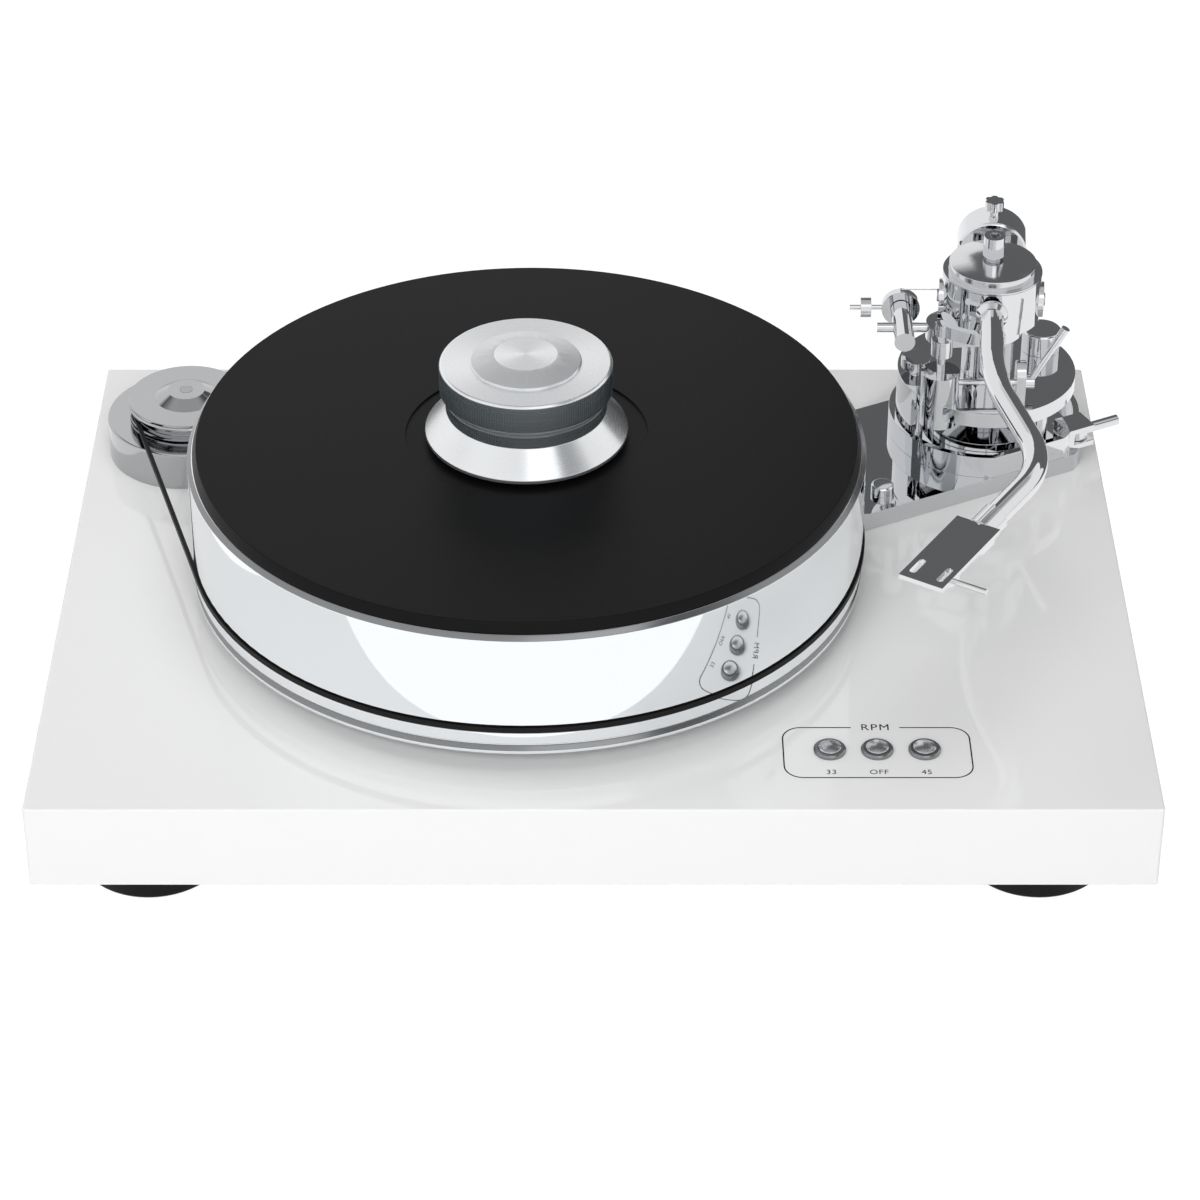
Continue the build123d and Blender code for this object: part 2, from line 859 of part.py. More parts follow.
with BuildPart() as base_lever:
    with BuildSketch(armboard_frame.offset(lever_z - lever_r)):
        with Locations((lug_x, lug_y)):
            Circle(lever_eye_r)
    extrude(amount=2 * lever_r)
    with BuildSketch(facing_x(armboard_frame, lug_x + lever_r, lug_y, lever_z)):
        Circle(lever_r)
    extrude(amount=lever_tip - lug_x - lever_r)
    with BuildSketch(armboard_frame.offset(lever_z - lever_r)):
        with Locations((lug_x, lug_y)):
            Circle(lever_pin_r + run_gap)
    extrude(amount=2 * lever_r, mode=Mode.SUBTRACT)
base_lever.part.label = "base_lever"
export_step(base_lever.part, "parts/base_lever.step")

with BuildPart() as platform_posts:
    with BuildSketch(armboard_frame.offset(ring_floor)):
        with PolarLocations(post_ring_r, post_count, start_angle=post_azimuth):
            Circle(post_r)
    extrude(amount=post_h)
platform_posts.part.label = "platform_posts"
export_step(platform_posts.part, "parts/platform_posts.step")

skirt_frame = level_frame(pivot_dx, pivot_dy, platform_skirt_azimuth)
with BuildPart() as arm_platform:
    with BuildSketch(arm_frame.offset(platform_z)):
        Circle(platform_r)
        with Locations((lift_x, lift_y)):
            Circle(lift_cylinder_r, mode=Mode.SUBTRACT)
        Circle(pillar_r, mode=Mode.SUBTRACT)
        with Locations((lock_dx, lock_dy)):
            Circle(lock_neck_r, mode=Mode.SUBTRACT)
    extrude(amount=platform_t)
    revolve(
        half_section(
            skirt_frame,
            (platform_r - platform_skirt_wall, platform_z - platform_skirt_h),
            (platform_r, platform_z - platform_skirt_h),
            (platform_r, platform_z),
            (platform_r - platform_skirt_wall, platform_z),
        ),
        axis=axis_of(skirt_frame),
        revolution_arc=platform_skirt_arc,
    )
arm_platform.part.label = "arm_platform"
export_step(arm_platform.part, "parts/arm_platform.step")

yaw_bore_z = drum_z - yaw_shaft_len - body_gap
with BuildPart() as arm_pillar:
    revolve(
        half_section(
            arm_frame,
            (0, ring_floor),
            (pillar_foot_r, ring_floor),
            (pillar_foot_r, ring_floor + pillar_foot_t),
            (pillar_r, ring_floor + pillar_foot_t + pillar_foot_cone),
            (pillar_r, flange_z),
            (yaw_shaft_r + run_gap, flange_z),
            (yaw_shaft_r + run_gap, yaw_bore_z),
            (0, yaw_bore_z),
        ),
        axis=axis_of(arm_frame),
    )
arm_pillar.part.label = "arm_pillar"
export_step(arm_pillar.part, "parts/arm_pillar.step")

# Flange under the drum, with an eye to the left that holds the outrigger
with BuildPart() as bearing_flange:
    with BuildSketch(arm_frame.offset(flange_z)):
        Circle(flange_r)
        with Locations((eye_dx, outrigger_y)):
            Circle(eye_r)
        make_hull()
        Circle(yaw_shaft_r + run_gap, mode=Mode.SUBTRACT)
    extrude(amount=flange_t)
    with BuildSketch(facing_x(arm_frame, eye_dx - eye_r, outrigger_y, skate_z)):
        Circle(outrigger_r)
    extrude(amount=eye_r, mode=Mode.SUBTRACT)
bearing_flange.part.label = "bearing_flange"
export_step(bearing_flange.part, "parts/bearing_flange.step")

with BuildPart() as lead_cap:
    cap_spot = moved(arm_frame, lead_cap_dx, lead_cap_dy, platform_top)
    revolve(
        half_section(
            cap_spot,
            (0, 0),
            (lead_cap_r, 0),
            (lead_cap_r, lead_cap_h - lead_cap_bevel),
            (lead_cap_r - lead_cap_bevel, lead_cap_h),
            (0, lead_cap_h),
        ),
        axis=axis_of(cap_spot),
    )
lead_cap.part.label = "lead_cap"
export_step(lead_cap.part, "parts/lead_cap.step")

with BuildPart() as lock_screw:
    lock_frame = moved(arm_frame, lock_dx, lock_dy, platform_top)
    revolve(
        half_section(
            lock_frame,
            (0, -platform_t),
            (lock_neck_r, -platform_t),
            (lock_neck_r, lock_neck_h),
            (lock_head_r, lock_neck_h),
            (lock_head_r, lock_neck_h + lock_head_h),
            (0, lock_neck_h + lock_head_h),
        ),
        axis=axis_of(lock_frame),
    )
lock_screw.part.label = "lock_screw"
export_step(lock_screw.part, "parts/lock_screw.step")

# Tonearm drum on its vertical shaft, with a round cheek on either side for the screws the arm pitches on
with BuildPart() as arm_drum:
    revolve(
        half_section(
            line_frame,
            (yaw_shaft_r, drum_z),
            (drum_r, drum_z),
            (drum_r, drum_top),
            (drum_r - drum_wall, drum_top),
            (drum_r - drum_wall, drum_z + drum_wall),
            (yaw_shaft_r, drum_z + drum_wall),
        ),
        axis=axis_of(line_frame),
    )
    for way in (1, -1):
        with BuildSketch(facing_x(line_frame, way * (drum_r - drum_wall), 0, pivot_z)):
            Circle(cheek_r)
        extrude(amount=way * (drum_wall + cheek_proud))
    with BuildSketch(facing_y(line_frame, 0, 0, tube_z)):
        Circle(aperture_r)
    extrude(amount=2 * drum_r, both=True, mode=Mode.SUBTRACT)
    with BuildSketch(facing_x(line_frame, 0, 0, pivot_z)):
        Circle(pivot_screw_r)
    extrude(amount=2 * drum_r, both=True, mode=Mode.SUBTRACT)
arm_drum.part.label = "arm_drum"
export_step(arm_drum.part, "parts/arm_drum.step")

cap_top = drum_top + cap_h
with BuildPart() as drum_cap:
    with BuildSketch(section_plane(line_frame)):
        with BuildLine():
            Polyline(
                (0, cap_top),
                (0, drum_top - cap_plug_h),
                (drum_r - drum_wall, drum_top - cap_plug_h),
                (drum_r - drum_wall, drum_top),
                (drum_r, drum_top),
                (drum_r, drum_top + cap_flange_t),
                (cap_r, drum_top + cap_flange_t),
                (cap_r, cap_top - cap_dome_h),
            )
            TangentArc((0, cap_top), (cap_r, cap_top - cap_dome_h), tangent=(1, 0))
        make_face()
    revolve(axis=axis_of(line_frame))
drum_cap.part.label = "drum_cap"
export_step(drum_cap.part, "parts/drum_cap.step")

with BuildPart() as cap_knob:
    revolve(
        half_section(
            line_frame,
            (0, cap_top),
            (knob_neck_r, cap_top),
            (knob_neck_r, cap_top + knob_neck_h),
            (knob_r, cap_top + knob_neck_h),
            (knob_r, cap_top + knob_h),
            (0, cap_top + knob_h),
        ),
        axis=axis_of(line_frame),
    )
    with BuildSketch(line_frame.offset(cap_top + knob_h)):
        RegularPolygon(knob_socket_r, 6)
    extrude(amount=-knob_socket_h, mode=Mode.SUBTRACT)
cap_knob.part.label = "cap_knob"
export_step(cap_knob.part, "parts/cap_knob.step")

with BuildPart() as yaw_spindle:
    with BuildSketch(line_frame.offset(drum_z - yaw_shaft_len)):
        Circle(yaw_shaft_r)
    extrude(amount=yaw_shaft_len + drum_wall)
yaw_spindle.part.label = "yaw_spindle"
export_step(yaw_spindle.part, "parts/yaw_spindle.step")

screw_end = drum_r + cheek_proud + pivot_screw_proud
with BuildPart() as pivot_screws:
    pivot_line = facing_x(line_frame, 0, 0, pivot_z)
    for way in (1, -1):
        revolve(
            half_section(
                pivot_line,
                (0, way * (pivot_half - pivot_tip_len)),
                (pivot_tip_r, way * (pivot_half - pivot_tip_len)),
                (pivot_tip_r, way * (pivot_half + body_gap)),
                (pivot_screw_r, way * (pivot_half + body_gap)),
                (pivot_screw_r, way * screw_end),
                (0, way * screw_end),
            ),
            axis=axis_of(pivot_line),
        )
pivot_screws.part.label = "pivot_screws"
export_step(pivot_screws.part, "parts/pivot_screws.step")

# Pitching part of the arm: pivot block with a saddle for the balance rod, S-shaped tube and headshell
with BuildPart() as pivot_block:
    with BuildSketch(facing_x(line_frame, -pivot_half, 0, pivot_z)):
        Circle(pivot_r)
    extrude(amount=2 * pivot_half)
    with BuildSketch(line_frame.offset(pivot_z)):
        Rectangle(saddle_w, 2 * pivot_r)
    extrude(amount=pivot_drop)
    with BuildSketch(facing_x(line_frame, 0, 0, pivot_z)):
        Circle(pivot_tip_r + run_gap)
    extrude(amount=pivot_half, both=True, mode=Mode.SUBTRACT)
    with BuildSketch(facing_y(line_frame, 0, 0, tube_z)):
        Circle(neck_r)
    extrude(amount=2 * pivot_r, both=True, mode=Mode.SUBTRACT)
pivot_block.part.label = "pivot_block"
export_step(pivot_block.part, "parts/pivot_block.step")

tube_start = ferrule_start + ferrule_len
with BuildPart() as balance_rod:
    with BuildSketch(facing_y(line_frame, 0, -tube_start, tube_z)):
        Circle(neck_r)
    extrude(amount=tube_start + rod_tail)
balance_rod.part.label = "balance_rod"
export_step(balance_rod.part, "parts/balance_rod.step")

tube_root = arm_frame.to_local_coords(line_frame.from_local_coords((0, -tube_start, 0)))
first_bend = arm_frame.to_local_coords(line_frame.from_local_coords((0, -first_bend_reach, 0)))
tube_end = arm_frame.to_local_coords(shell_frame.from_local_coords((-tube_short, 0, 0)))
second_bend = arm_frame.to_local_coords(shell_frame.from_local_coords((-second_bend_short, 0, 0)))
with BuildPart() as arm_tube:
    with BuildLine(arm_frame.offset(tube_z)) as tube_path:
        FilletPolyline(
            (tube_root.X, tube_root.Y),
            (first_bend.X, first_bend.Y),
            (second_bend.X, second_bend.Y),
            (tube_end.X, tube_end.Y),
            radius=[first_bend_r, second_bend_r],
        )
    with BuildSketch(Plane(origin=tube_path.wire() @ 0, z_dir=tube_path.wire() % 0)):
        Circle(tube_r)
    sweep(path=tube_path.wire())
    ferrule_frame = facing_y(line_frame, 0, -tube_start, tube_z)
    revolve(
        half_section(
            ferrule_frame,
            (neck_r, 0),
            (tube_r, 0),
            (ferrule_r, ferrule_taper),
            (ferrule_r, ferrule_len - ferrule_nose),
            (ferrule_r - ferrule_nose, ferrule_len),
            (neck_r, ferrule_len),
        ),
        axis=axis_of(ferrule_frame),
    )
arm_tube.part.label = "arm_tube"
export_step(arm_tube.part, "parts/arm_tube.step")

with BuildPart() as headshell_collar:
    with BuildSketch(facing_x(shell_frame, -collar_len, 0, -shell_lift)):
        Circle(collar_out_r)
        with PolarLocations(collar_out_r, collar_ribs, collar_rib_from, collar_rib_span):
            Circle(collar_rib_r)
    extrude(amount=collar_len)
    with BuildSketch(facing_x(shell_frame, -collar_len, 0, -shell_lift)):
        Circle(tube_r)
    extrude(amount=collar_len - tube_short, mode=Mode.SUBTRACT)
headshell_collar.part.label = "headshell_collar"
export_step(headshell_collar.part, "parts/headshell_collar.step")

with BuildPart() as headshell:
    with BuildSketch(shell_frame.offset(-shell_t)):
        Rectangle(shell_len, shell_w, align=(Align.MIN, Align.CENTER))
        with Locations((shell_len - slot_from_front, 0)):
            with GridLocations(0, slot_pitch, 1, 2):
                SlotOverall(slot_len, slot_w, mode=Mode.SUBTRACT)
    extrude(amount=shell_t)
    with BuildSketch(shell_frame.offset(-shell_t)):
        with Locations((shell_block_at, 0)):
            Rectangle(shell_block_len, shell_block_w, align=(Align.MIN, Align.CENTER))
    extrude(amount=-shell_block_h)
headshell.part.label = "headshell"
export_step(headshell.part, "parts/headshell.step")

with BuildPart() as finger_lift:
    with BuildSketch(shell_frame.offset(-shell_t)):
        with Locations((lift_rod_at, shell_w / 2)):
            Rectangle(lift_tab_w, lift_tab_d / 2, align=(Align.CENTER, Align.MAX))
    extrude(amount=-2 * lift_rod_r)
    with BuildSketch(facing_y(shell_frame, lift_rod_at, shell_w / 2 - lift_tab_d / 4, -shell_t - lift_rod_r)):
        Circle(lift_rod_r)
    extrude(amount=lift_rod_len - shell_w / 2 + lift_tab_d / 4)
finger_lift.part.label = "finger_lift"
export_step(finger_lift.part, "parts/finger_lift.step")

# Counterweight, clamped on the balance rod by a thumbscrew
rod_line = facing_y(line_frame, 0, 0, tube_z)
weight_end = weight_at + weight_len
with BuildPart() as counterweight:
    revolve(
        half_section(
            rod_line,
            (neck_r + run_gap, weight_at),
            (weight_r - weight_bevel, weight_at),
            (weight_r, weight_at + weight_bevel),
            (weight_r, weight_end - weight_bevel),
            (weight_r - weight_bevel, weight_end),
            (neck_r + run_gap, weight_end),
        ),
        axis=axis_of(rod_line),
    )
    with BuildSketch(moved(line_frame, 0, weight_screw_at, tube_z + weight_r - weight_screw_into)):
        Circle(weight_screw_r)
    extrude(amount=2 * weight_screw_into, mode=Mode.SUBTRACT)
counterweight.part.label = "counterweight"
export_step(counterweight.part, "parts/counterweight.step")

weight_head_z = tube_z + weight_r + weight_screw_h
with BuildPart() as counterweight_screw:
    with BuildSketch(moved(line_frame, 0, weight_screw_at, tube_z + weight_r - weight_screw_into)):
        Circle(weight_screw_r)
    extrude(amount=weight_screw_into + weight_screw_h)
    with BuildSketch(moved(line_frame, 0, weight_screw_at, weight_head_z)):
        Circle(weight_head_r)
        with PolarLocations(weight_head_r + weight_notch_r / 2, weight_notches):
            Circle(weight_notch_r, mode=Mode.SUBTRACT)
    extrude(amount=weight_head_h)
counterweight_screw.part.label = "counterweight_screw"
export_step(counterweight_screw.part, "parts/counterweight_screw.step")

# Arm lift: a damped cylinder, the curved bar under the tube and the lever that raises it
lift_frame = moved(arm_frame, lift_x, lift_y)
lift_pin_foot = lift_cylinder_top_z - lift_pin_depth
with BuildPart() as lift_cylinder:
    revolve(
        half_section(
            lift_frame,
            (0, lift_cylinder_top_z - lift_cylinder_h),
            (lift_cylinder_r, lift_cylinder_top_z - lift_cylinder_h),
            (lift_cylinder_r, lift_cylinder_top_z),
            (lift_pin_r + run_gap, lift_cylinder_top_z),
            (lift_pin_r + run_gap, lift_pin_foot - body_gap),
            (0, lift_pin_foot - body_gap),
        ),
        axis=axis_of(lift_frame),
    )
    with BuildSketch(facing_x(lift_frame, lift_cylinder_r - cue_shaft_into - body_gap, 0, cue_z)):
        Circle(cue_shaft_r + run_gap)
    extrude(amount=lift_cylinder_r, mode=Mode.SUBTRACT)
lift_cylinder.part.label = "lift_cylinder"
export_step(lift_cylinder.part, "parts/lift_cylinder.step")

lift_bar_z = lift_top - lift_bar_t
lift_nut_z = lift_bar_z - lift_nut_drop - lift_nut_h
sweep_frame = level_frame(pivot_dx, pivot_dy, lift_azimuth)
with BuildPart() as lift_bar:
    revolve(
        half_section(
            sweep_frame,
            (lift_radius - lift_bar_w / 2, lift_bar_z),
            (lift_radius + lift_bar_w / 2, lift_bar_z),
            (lift_radius + lift_bar_w / 2, lift_top),
            (lift_radius - lift_bar_w / 2, lift_top),
        ),
        axis=axis_of(sweep_frame),
        revolution_arc=lift_end_azimuth - lift_azimuth,
    )
    with BuildSketch(lift_frame.offset(lift_bar_z)):
        Circle(lift_leaf_r)
    extrude(amount=lift_bar_t)
    with BuildSketch(lift_frame.offset(lift_pin_foot)):
        Circle(lift_pin_r)
    extrude(amount=lift_bar_z - lift_pin_foot)
    with BuildSketch(lift_frame.offset(lift_nut_z)):
        Circle(lift_nut_r)
    extrude(amount=lift_nut_h)
lift_bar.part.label = "lift_bar"
export_step(lift_bar.part, "parts/lift_bar.step")

with BuildPart() as lever_bracket:
    with BuildSketch(facing_x(arm_frame, bracket_x, lift_y, platform_top)):
        Rectangle(bracket_w, bracket_h - bracket_w / 2, align=(Align.CENTER, Align.MIN))
        with Locations((0, bracket_h - bracket_w / 2)):
            Circle(bracket_w / 2)
        with Locations((0, cue_z - platform_top)):
            Circle(cue_shaft_r + run_gap, mode=Mode.SUBTRACT)
    extrude(amount=bracket_t)
lever_bracket.part.label = "lever_bracket"
export_step(lever_bracket.part, "parts/lever_bracket.step")

cue_hub_x = bracket_x + bracket_t + body_gap
with BuildPart() as cue_lever:
    with BuildSketch(facing_x(arm_frame, lift_x + lift_cylinder_r - cue_shaft_into, lift_y, cue_z)):
        Circle(cue_shaft_r)
    extrude(amount=cue_hub_x - lift_x - lift_cylinder_r + cue_shaft_into)
    with BuildSketch(facing_x(arm_frame, cue_hub_x, lift_y, cue_z)):
        Circle(cue_hub_r)
    extrude(amount=cue_hub_w)
    cue_base = moved(arm_frame, cue_hub_x + cue_hub_w / 2, lift_y, cue_z)
    cue_plane = Plane(origin=cue_base.origin, z_dir=(cue_rod_run, 0, cue_rod_rise))
    cue_len = math.hypot(cue_rod_run, cue_rod_rise)
    with BuildSketch(cue_plane):
        Circle(cue_rod_r)
    extrude(amount=cue_len)
    with BuildSketch(cue_plane.offset(cue_len * (1 - cue_grip_share))):
        Circle(cue_grip_r)
    extrude(amount=cue_len * cue_grip_share)
cue_lever.part.label = "cue_lever"
export_step(cue_lever.part, "parts/cue_lever.step")

# Skating compensator: an outrigger, its housing, a wheel with a rod, a sliding weight and the thread
wheel_y = skate_rear_y + wheel_gap
axle_foot = wheel_y - axle_len
skate_rod_x = skate_dx - wheel_r - skate_rod_len
with BuildPart() as outrigger_bar:
    with BuildSketch(facing_x(arm_frame, outrigger_end_x, outrigger_y, skate_z)):
        Circle(outrigger_r)
    extrude(amount=eye_dx - outrigger_end_x)
outrigger_bar.part.label = "outrigger_bar"
export_step(outrigger_bar.part, "parts/outrigger_bar.step")

with BuildPart() as outrigger_housing:
    with BuildSketch(facing_y(arm_frame, skate_dx, skate_front_y, skate_z)):
        Circle(skate_housing_r)
    extrude(amount=skate_rear_y - skate_front_y)
    with BuildSketch(facing_y(arm_frame, skate_dx, axle_foot - body_gap, skate_z)):
        Circle(axle_r + run_gap)
    extrude(amount=axle_len, mode=Mode.SUBTRACT)
    with BuildSketch(facing_x(arm_frame, skate_dx, outrigger_y, skate_z)):
        Circle(outrigger_r)
    extrude(amount=2 * skate_housing_r, both=True, mode=Mode.SUBTRACT)
outrigger_housing.part.label = "outrigger_housing"
export_step(outrigger_housing.part, "parts/outrigger_housing.step")

with BuildPart() as skating_wheel:
    with BuildSketch(facing_y(arm_frame, skate_dx, axle_foot, skate_z)):
        Circle(axle_r)
    extrude(amount=axle_len)
    with BuildSketch(facing_y(arm_frame, skate_dx, wheel_y, skate_z)):
        Circle(wheel_r)
    extrude(amount=wheel_t)
    with BuildSketch(facing_x(arm_frame, skate_rod_x, wheel_y + wheel_t / 2, skate_z)):
        Circle(skate_rod_r)
    extrude(amount=skate_rod_len + skate_rod_r)
skating_wheel.part.label = "skating_wheel"
export_step(skating_wheel.part, "parts/skating_wheel.step")

skate_weight_x = skate_dx - wheel_r - skate_weight_at - skate_weight_w / 2
with BuildPart() as skating_weight:
    with BuildSketch(facing_x(arm_frame, skate_weight_x, wheel_y + wheel_t / 2, skate_z)):
        Circle(skate_weight_r)
        Circle(skate_rod_r + run_gap, mode=Mode.SUBTRACT)
    extrude(amount=skate_weight_w)
skating_weight.part.label = "skating_weight"
export_step(skating_weight.part, "parts/skating_weight.step")

thread_z = skate_z + wheel_r + body_gap + thread_r
thread_y = wheel_y + wheel_t / 2
swept_r = math.hypot(drum_r + cheek_proud, cheek_r)
thread_end_x = -math.sqrt((swept_r + body_gap) ** 2 - (thread_y - thread_r) ** 2)
with BuildPart() as skating_thread:
    with BuildSketch(facing_x(arm_frame, skate_dx, thread_y, thread_z)):
        Circle(thread_r)
    extrude(amount=thread_end_x - skate_dx)
skating_thread.part.label = "skating_thread"
export_step(skating_thread.part, "parts/skating_thread.step")

# Speed buttons in their bezels, over three switches on a circuit board
with BuildPart() as button_bezels:
    for button_x in button_spots:
        bezel_frame = level_frame(button_x, button_dy)
        revolve(
            half_section(
                bezel_frame,
                (button_r + slide_gap, -bezel_sleeve_h),
                (bezel_sleeve_r, -bezel_sleeve_h),
                (bezel_sleeve_r, 0),
                (bezel_r, 0),
                (bezel_r, bezel_h - bezel_bevel),
                (bezel_r - bezel_bevel, bezel_h),
                (button_r + slide_gap, bezel_h),
            ),
            axis=axis_of(bezel_frame),
        )
button_bezels.part.label = "button_bezels"
export_step(button_bezels.part, "parts/button_bezels.step")

stem_foot = -button_skirt - button_stem_h
for button_name, button_x in zip(("button_slow", "button_off", "button_fast"), button_spots):
    button_frame = level_frame(button_x, button_dy)
    with BuildPart() as button:
        with BuildSketch(section_plane(button_frame)):
            with BuildLine():
                Polyline(
                    (0, button_rise + button_dome),
                    (0, stem_foot),
                    (button_stem_r, stem_foot),
                    (button_stem_r, -button_skirt),
                    (button_r, -button_skirt),
                    (button_r, button_rise),
                )
                TangentArc((0, button_rise + button_dome), (button_r, button_rise), tangent=(1, 0))
            make_face()
        revolve(axis=axis_of(button_frame))
    button.part.label = button_name
    export_step(button.part, f"parts/{button_name}.step")

with BuildPart() as control_board:
    with BuildSketch(deck.offset(board_top)):
        with Locations((button_dx, button_dy)):
            Rectangle(board_pcb_w, board_pcb_d)
    extrude(amount=-board_pcb_t)
control_board.part.label = "control_board"
export_step(control_board.part, "parts/control_board.step")

switch_tip_z = stem_foot - button_travel - body_gap
with BuildPart() as button_switches:
    with BuildSketch(deck.offset(board_top)):
        with Locations([(x, button_dy) for x in button_spots]):
            Rectangle(switch_w, switch_w)
    extrude(amount=switch_h - body_gap)
    with BuildSketch(deck.offset(board_top)):
        with Locations([(x, button_dy) for x in button_spots]):
            Circle(switch_tip_r)
    extrude(amount=switch_tip_z - board_top)
button_switches.part.label = "button_switches"
export_step(button_switches.part, "parts/button_switches.step")

# Connections at the back: a plate with two phono sockets, a ground terminal and the power inlet
socket_spots = [1.5 * socket_pitch, 0.5 * socket_pitch]
terminal_spot = -0.5 * socket_pitch
inlet_spot = -1.5 * socket_pitch
with BuildPart() as connector_panel:
    with BuildSketch(rear_frame.offset(-panel_t)):
        Rectangle(panel_w - 2 * panel_gap, panel_h - 2 * panel_gap)
        with Locations([(x, 0) for x in socket_spots]):
            Circle(socket_r, mode=Mode.SUBTRACT)
        with Locations((terminal_spot, 0)):
            Circle(terminal_r, mode=Mode.SUBTRACT)
        with Locations((inlet_spot, 0)):
            Circle(inlet_r, mode=Mode.SUBTRACT)
    extrude(amount=panel_t)
connector_panel.part.label = "connector_panel"
export_step(connector_panel.part, "parts/connector_panel.step")

with BuildPart() as phono_sockets:
    for socket_x in socket_spots:
        socket_frame = moved(rear_frame, socket_x, 0)
        revolve(
            half_section(
                socket_frame,
                (0, -panel_t - socket_tail),
                (socket_r, -panel_t - socket_tail),
                (socket_r, 0),
                (socket_flange_r, 0),
                (socket_flange_r, socket_flange_t),
                (socket_r, socket_flange_t),
                (socket_r, socket_reach),
                (socket_hole_r, socket_reach),
                (socket_hole_r, 0),
                (0, 0),
            ),
            axis=axis_of(socket_frame),
        )
phono_sockets.part.label = "phono_sockets"
export_step(phono_sockets.part, "parts/phono_sockets.step")

with BuildPart() as ground_terminal:
    terminal_frame = moved(rear_frame, terminal_spot, 0)
    revolve(
        half_section(
            terminal_frame,
            (0, -panel_t - socket_tail),
            (terminal_r, -panel_t - socket_tail),
            (terminal_r, 0),
            (terminal_nut_r, 0),
            (terminal_nut_r, terminal_nut_h),
            (terminal_r, terminal_nut_h),
            (terminal_r, terminal_nut_h + terminal_r),
            (0, terminal_nut_h + terminal_r),
        ),
        axis=axis_of(terminal_frame),
    )
ground_terminal.part.label = "ground_terminal"
export_step(ground_terminal.part, "parts/ground_terminal.step")

with BuildPart() as power_inlet:
    inlet_frame = moved(rear_frame, inlet_spot, 0)
    revolve(
        half_section(
            inlet_frame,
            (0, -panel_t - inlet_tail),
            (inlet_r, -panel_t - inlet_tail),
            (inlet_r, 0),
            (inlet_flange_r, 0),
            (inlet_flange_r, inlet_flange_t),
            (inlet_hole_r, inlet_flange_t),
            (inlet_hole_r, inlet_flange_t - inlet_hole_depth),
            (0, inlet_flange_t - inlet_hole_depth),
        ),
        axis=axis_of(inlet_frame),
    )
power_inlet.part.label = "power_inlet"
export_step(power_inlet.part, "parts/power_inlet.step")
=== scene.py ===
import json
import math
import bmesh
import bpy
from mathutils import Matrix, Vector


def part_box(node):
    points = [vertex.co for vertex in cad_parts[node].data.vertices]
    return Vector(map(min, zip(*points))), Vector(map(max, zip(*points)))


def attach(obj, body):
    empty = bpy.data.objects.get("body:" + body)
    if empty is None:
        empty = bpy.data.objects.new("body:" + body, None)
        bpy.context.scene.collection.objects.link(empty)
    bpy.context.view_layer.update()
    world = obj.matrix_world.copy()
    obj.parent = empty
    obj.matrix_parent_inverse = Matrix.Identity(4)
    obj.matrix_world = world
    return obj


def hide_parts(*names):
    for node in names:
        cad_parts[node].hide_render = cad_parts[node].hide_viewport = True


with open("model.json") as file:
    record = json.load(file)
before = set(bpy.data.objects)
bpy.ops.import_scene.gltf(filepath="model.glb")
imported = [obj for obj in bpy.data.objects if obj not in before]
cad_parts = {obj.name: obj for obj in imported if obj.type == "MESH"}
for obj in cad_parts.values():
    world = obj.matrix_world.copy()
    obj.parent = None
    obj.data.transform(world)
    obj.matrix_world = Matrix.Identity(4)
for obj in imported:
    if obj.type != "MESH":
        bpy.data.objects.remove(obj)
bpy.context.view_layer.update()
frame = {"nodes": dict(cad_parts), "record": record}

MM = 0.001
WHITE = (1, 1, 1, 1)
WELD_MM = 0.002   # points closer than this are one
FLAT_DEG = 0.5    # faces that meet at less than this are one flat face
FACET_DEG = 0.1   # the same on low turned cones, whose facets meet at half a degree
SHARP_DEG = 33    # edges over this angle stay sharp, and are eased
STEP_DEG = 12     # sharp edges of low turned steps, so that a flat and a low cone stay apart
ROUND_SIDES, HEX_SIDES = 32, 6
record = frame["record"]
body_of = {node: body for body, nodes in record["behaviour"]["bodies"].items() for node in nodes}


def tint(code):
    """sRGB hex to the linear colour that a shader socket takes."""
    parts = [int(code[i:i + 2], 16) / 255 for i in (1, 3, 5)]
    return tuple(c / 12.92 if c <= 0.04045 else ((c + 0.055) / 1.055) ** 2.4 for c in parts) + (1.0,)


def add(tree, kind, settings=None, links=None):
    """Adds a shader or geometry node: settings by attribute or input name, links as input: (node, output)."""
    made = tree.nodes.new(kind)
    for key, value in (settings or {}).items():
        if isinstance(key, str) and hasattr(made, key):
            setattr(made, key, value)
        else:
            made.inputs[key].default_value = value
    for key, (source, output) in (links or {}).items():
        tree.links.new(source.outputs[output], made.inputs[key])
    return made


def finish(name, colour, metallic=0.0, roughness=0.4, **sockets):
    """A Principled material with the given sockets. Returns the material, its tree and its shader."""
    made = bpy.data.materials.new(name)
    made.use_nodes = True
    tree = made.node_tree
    shader = tree.nodes["Principled BSDF"]
    shader.inputs["Base Color"].default_value = tint(colour)
    shader.inputs["Metallic"].default_value = metallic
    shader.inputs["Roughness"].default_value = roughness
    for key, value in sockets.items():
        shader.inputs[key.replace("_", " ")].default_value = value
    return made, tree, shader


def grain(tree, shader, size_mm, low, high, bump_mm=0.0, detail=4.0):
    """Noise of the given grain size: roughness runs from low to high, with a bump of the given height."""
    place = add(tree, "ShaderNodeTexCoord")
    noise = add(tree, "ShaderNodeTexNoise", {"Scale": 1 / (size_mm * MM), "Detail": detail},
                {"Vector": (place, "Object")})
    spread = add(tree, "ShaderNodeMapRange", {"To Min": low, "To Max": high}, {"Value": (noise, 0)})
    tree.links.new(spread.outputs[0], shader.inputs["Roughness"])
    if bump_mm:
        bump = add(tree, "ShaderNodeBump", {"Strength": 1.0, "Distance": bump_mm * MM},
                   {"Height": (noise, 0)})
        tree.links.new(bump.outputs[0], shader.inputs["Normal"])


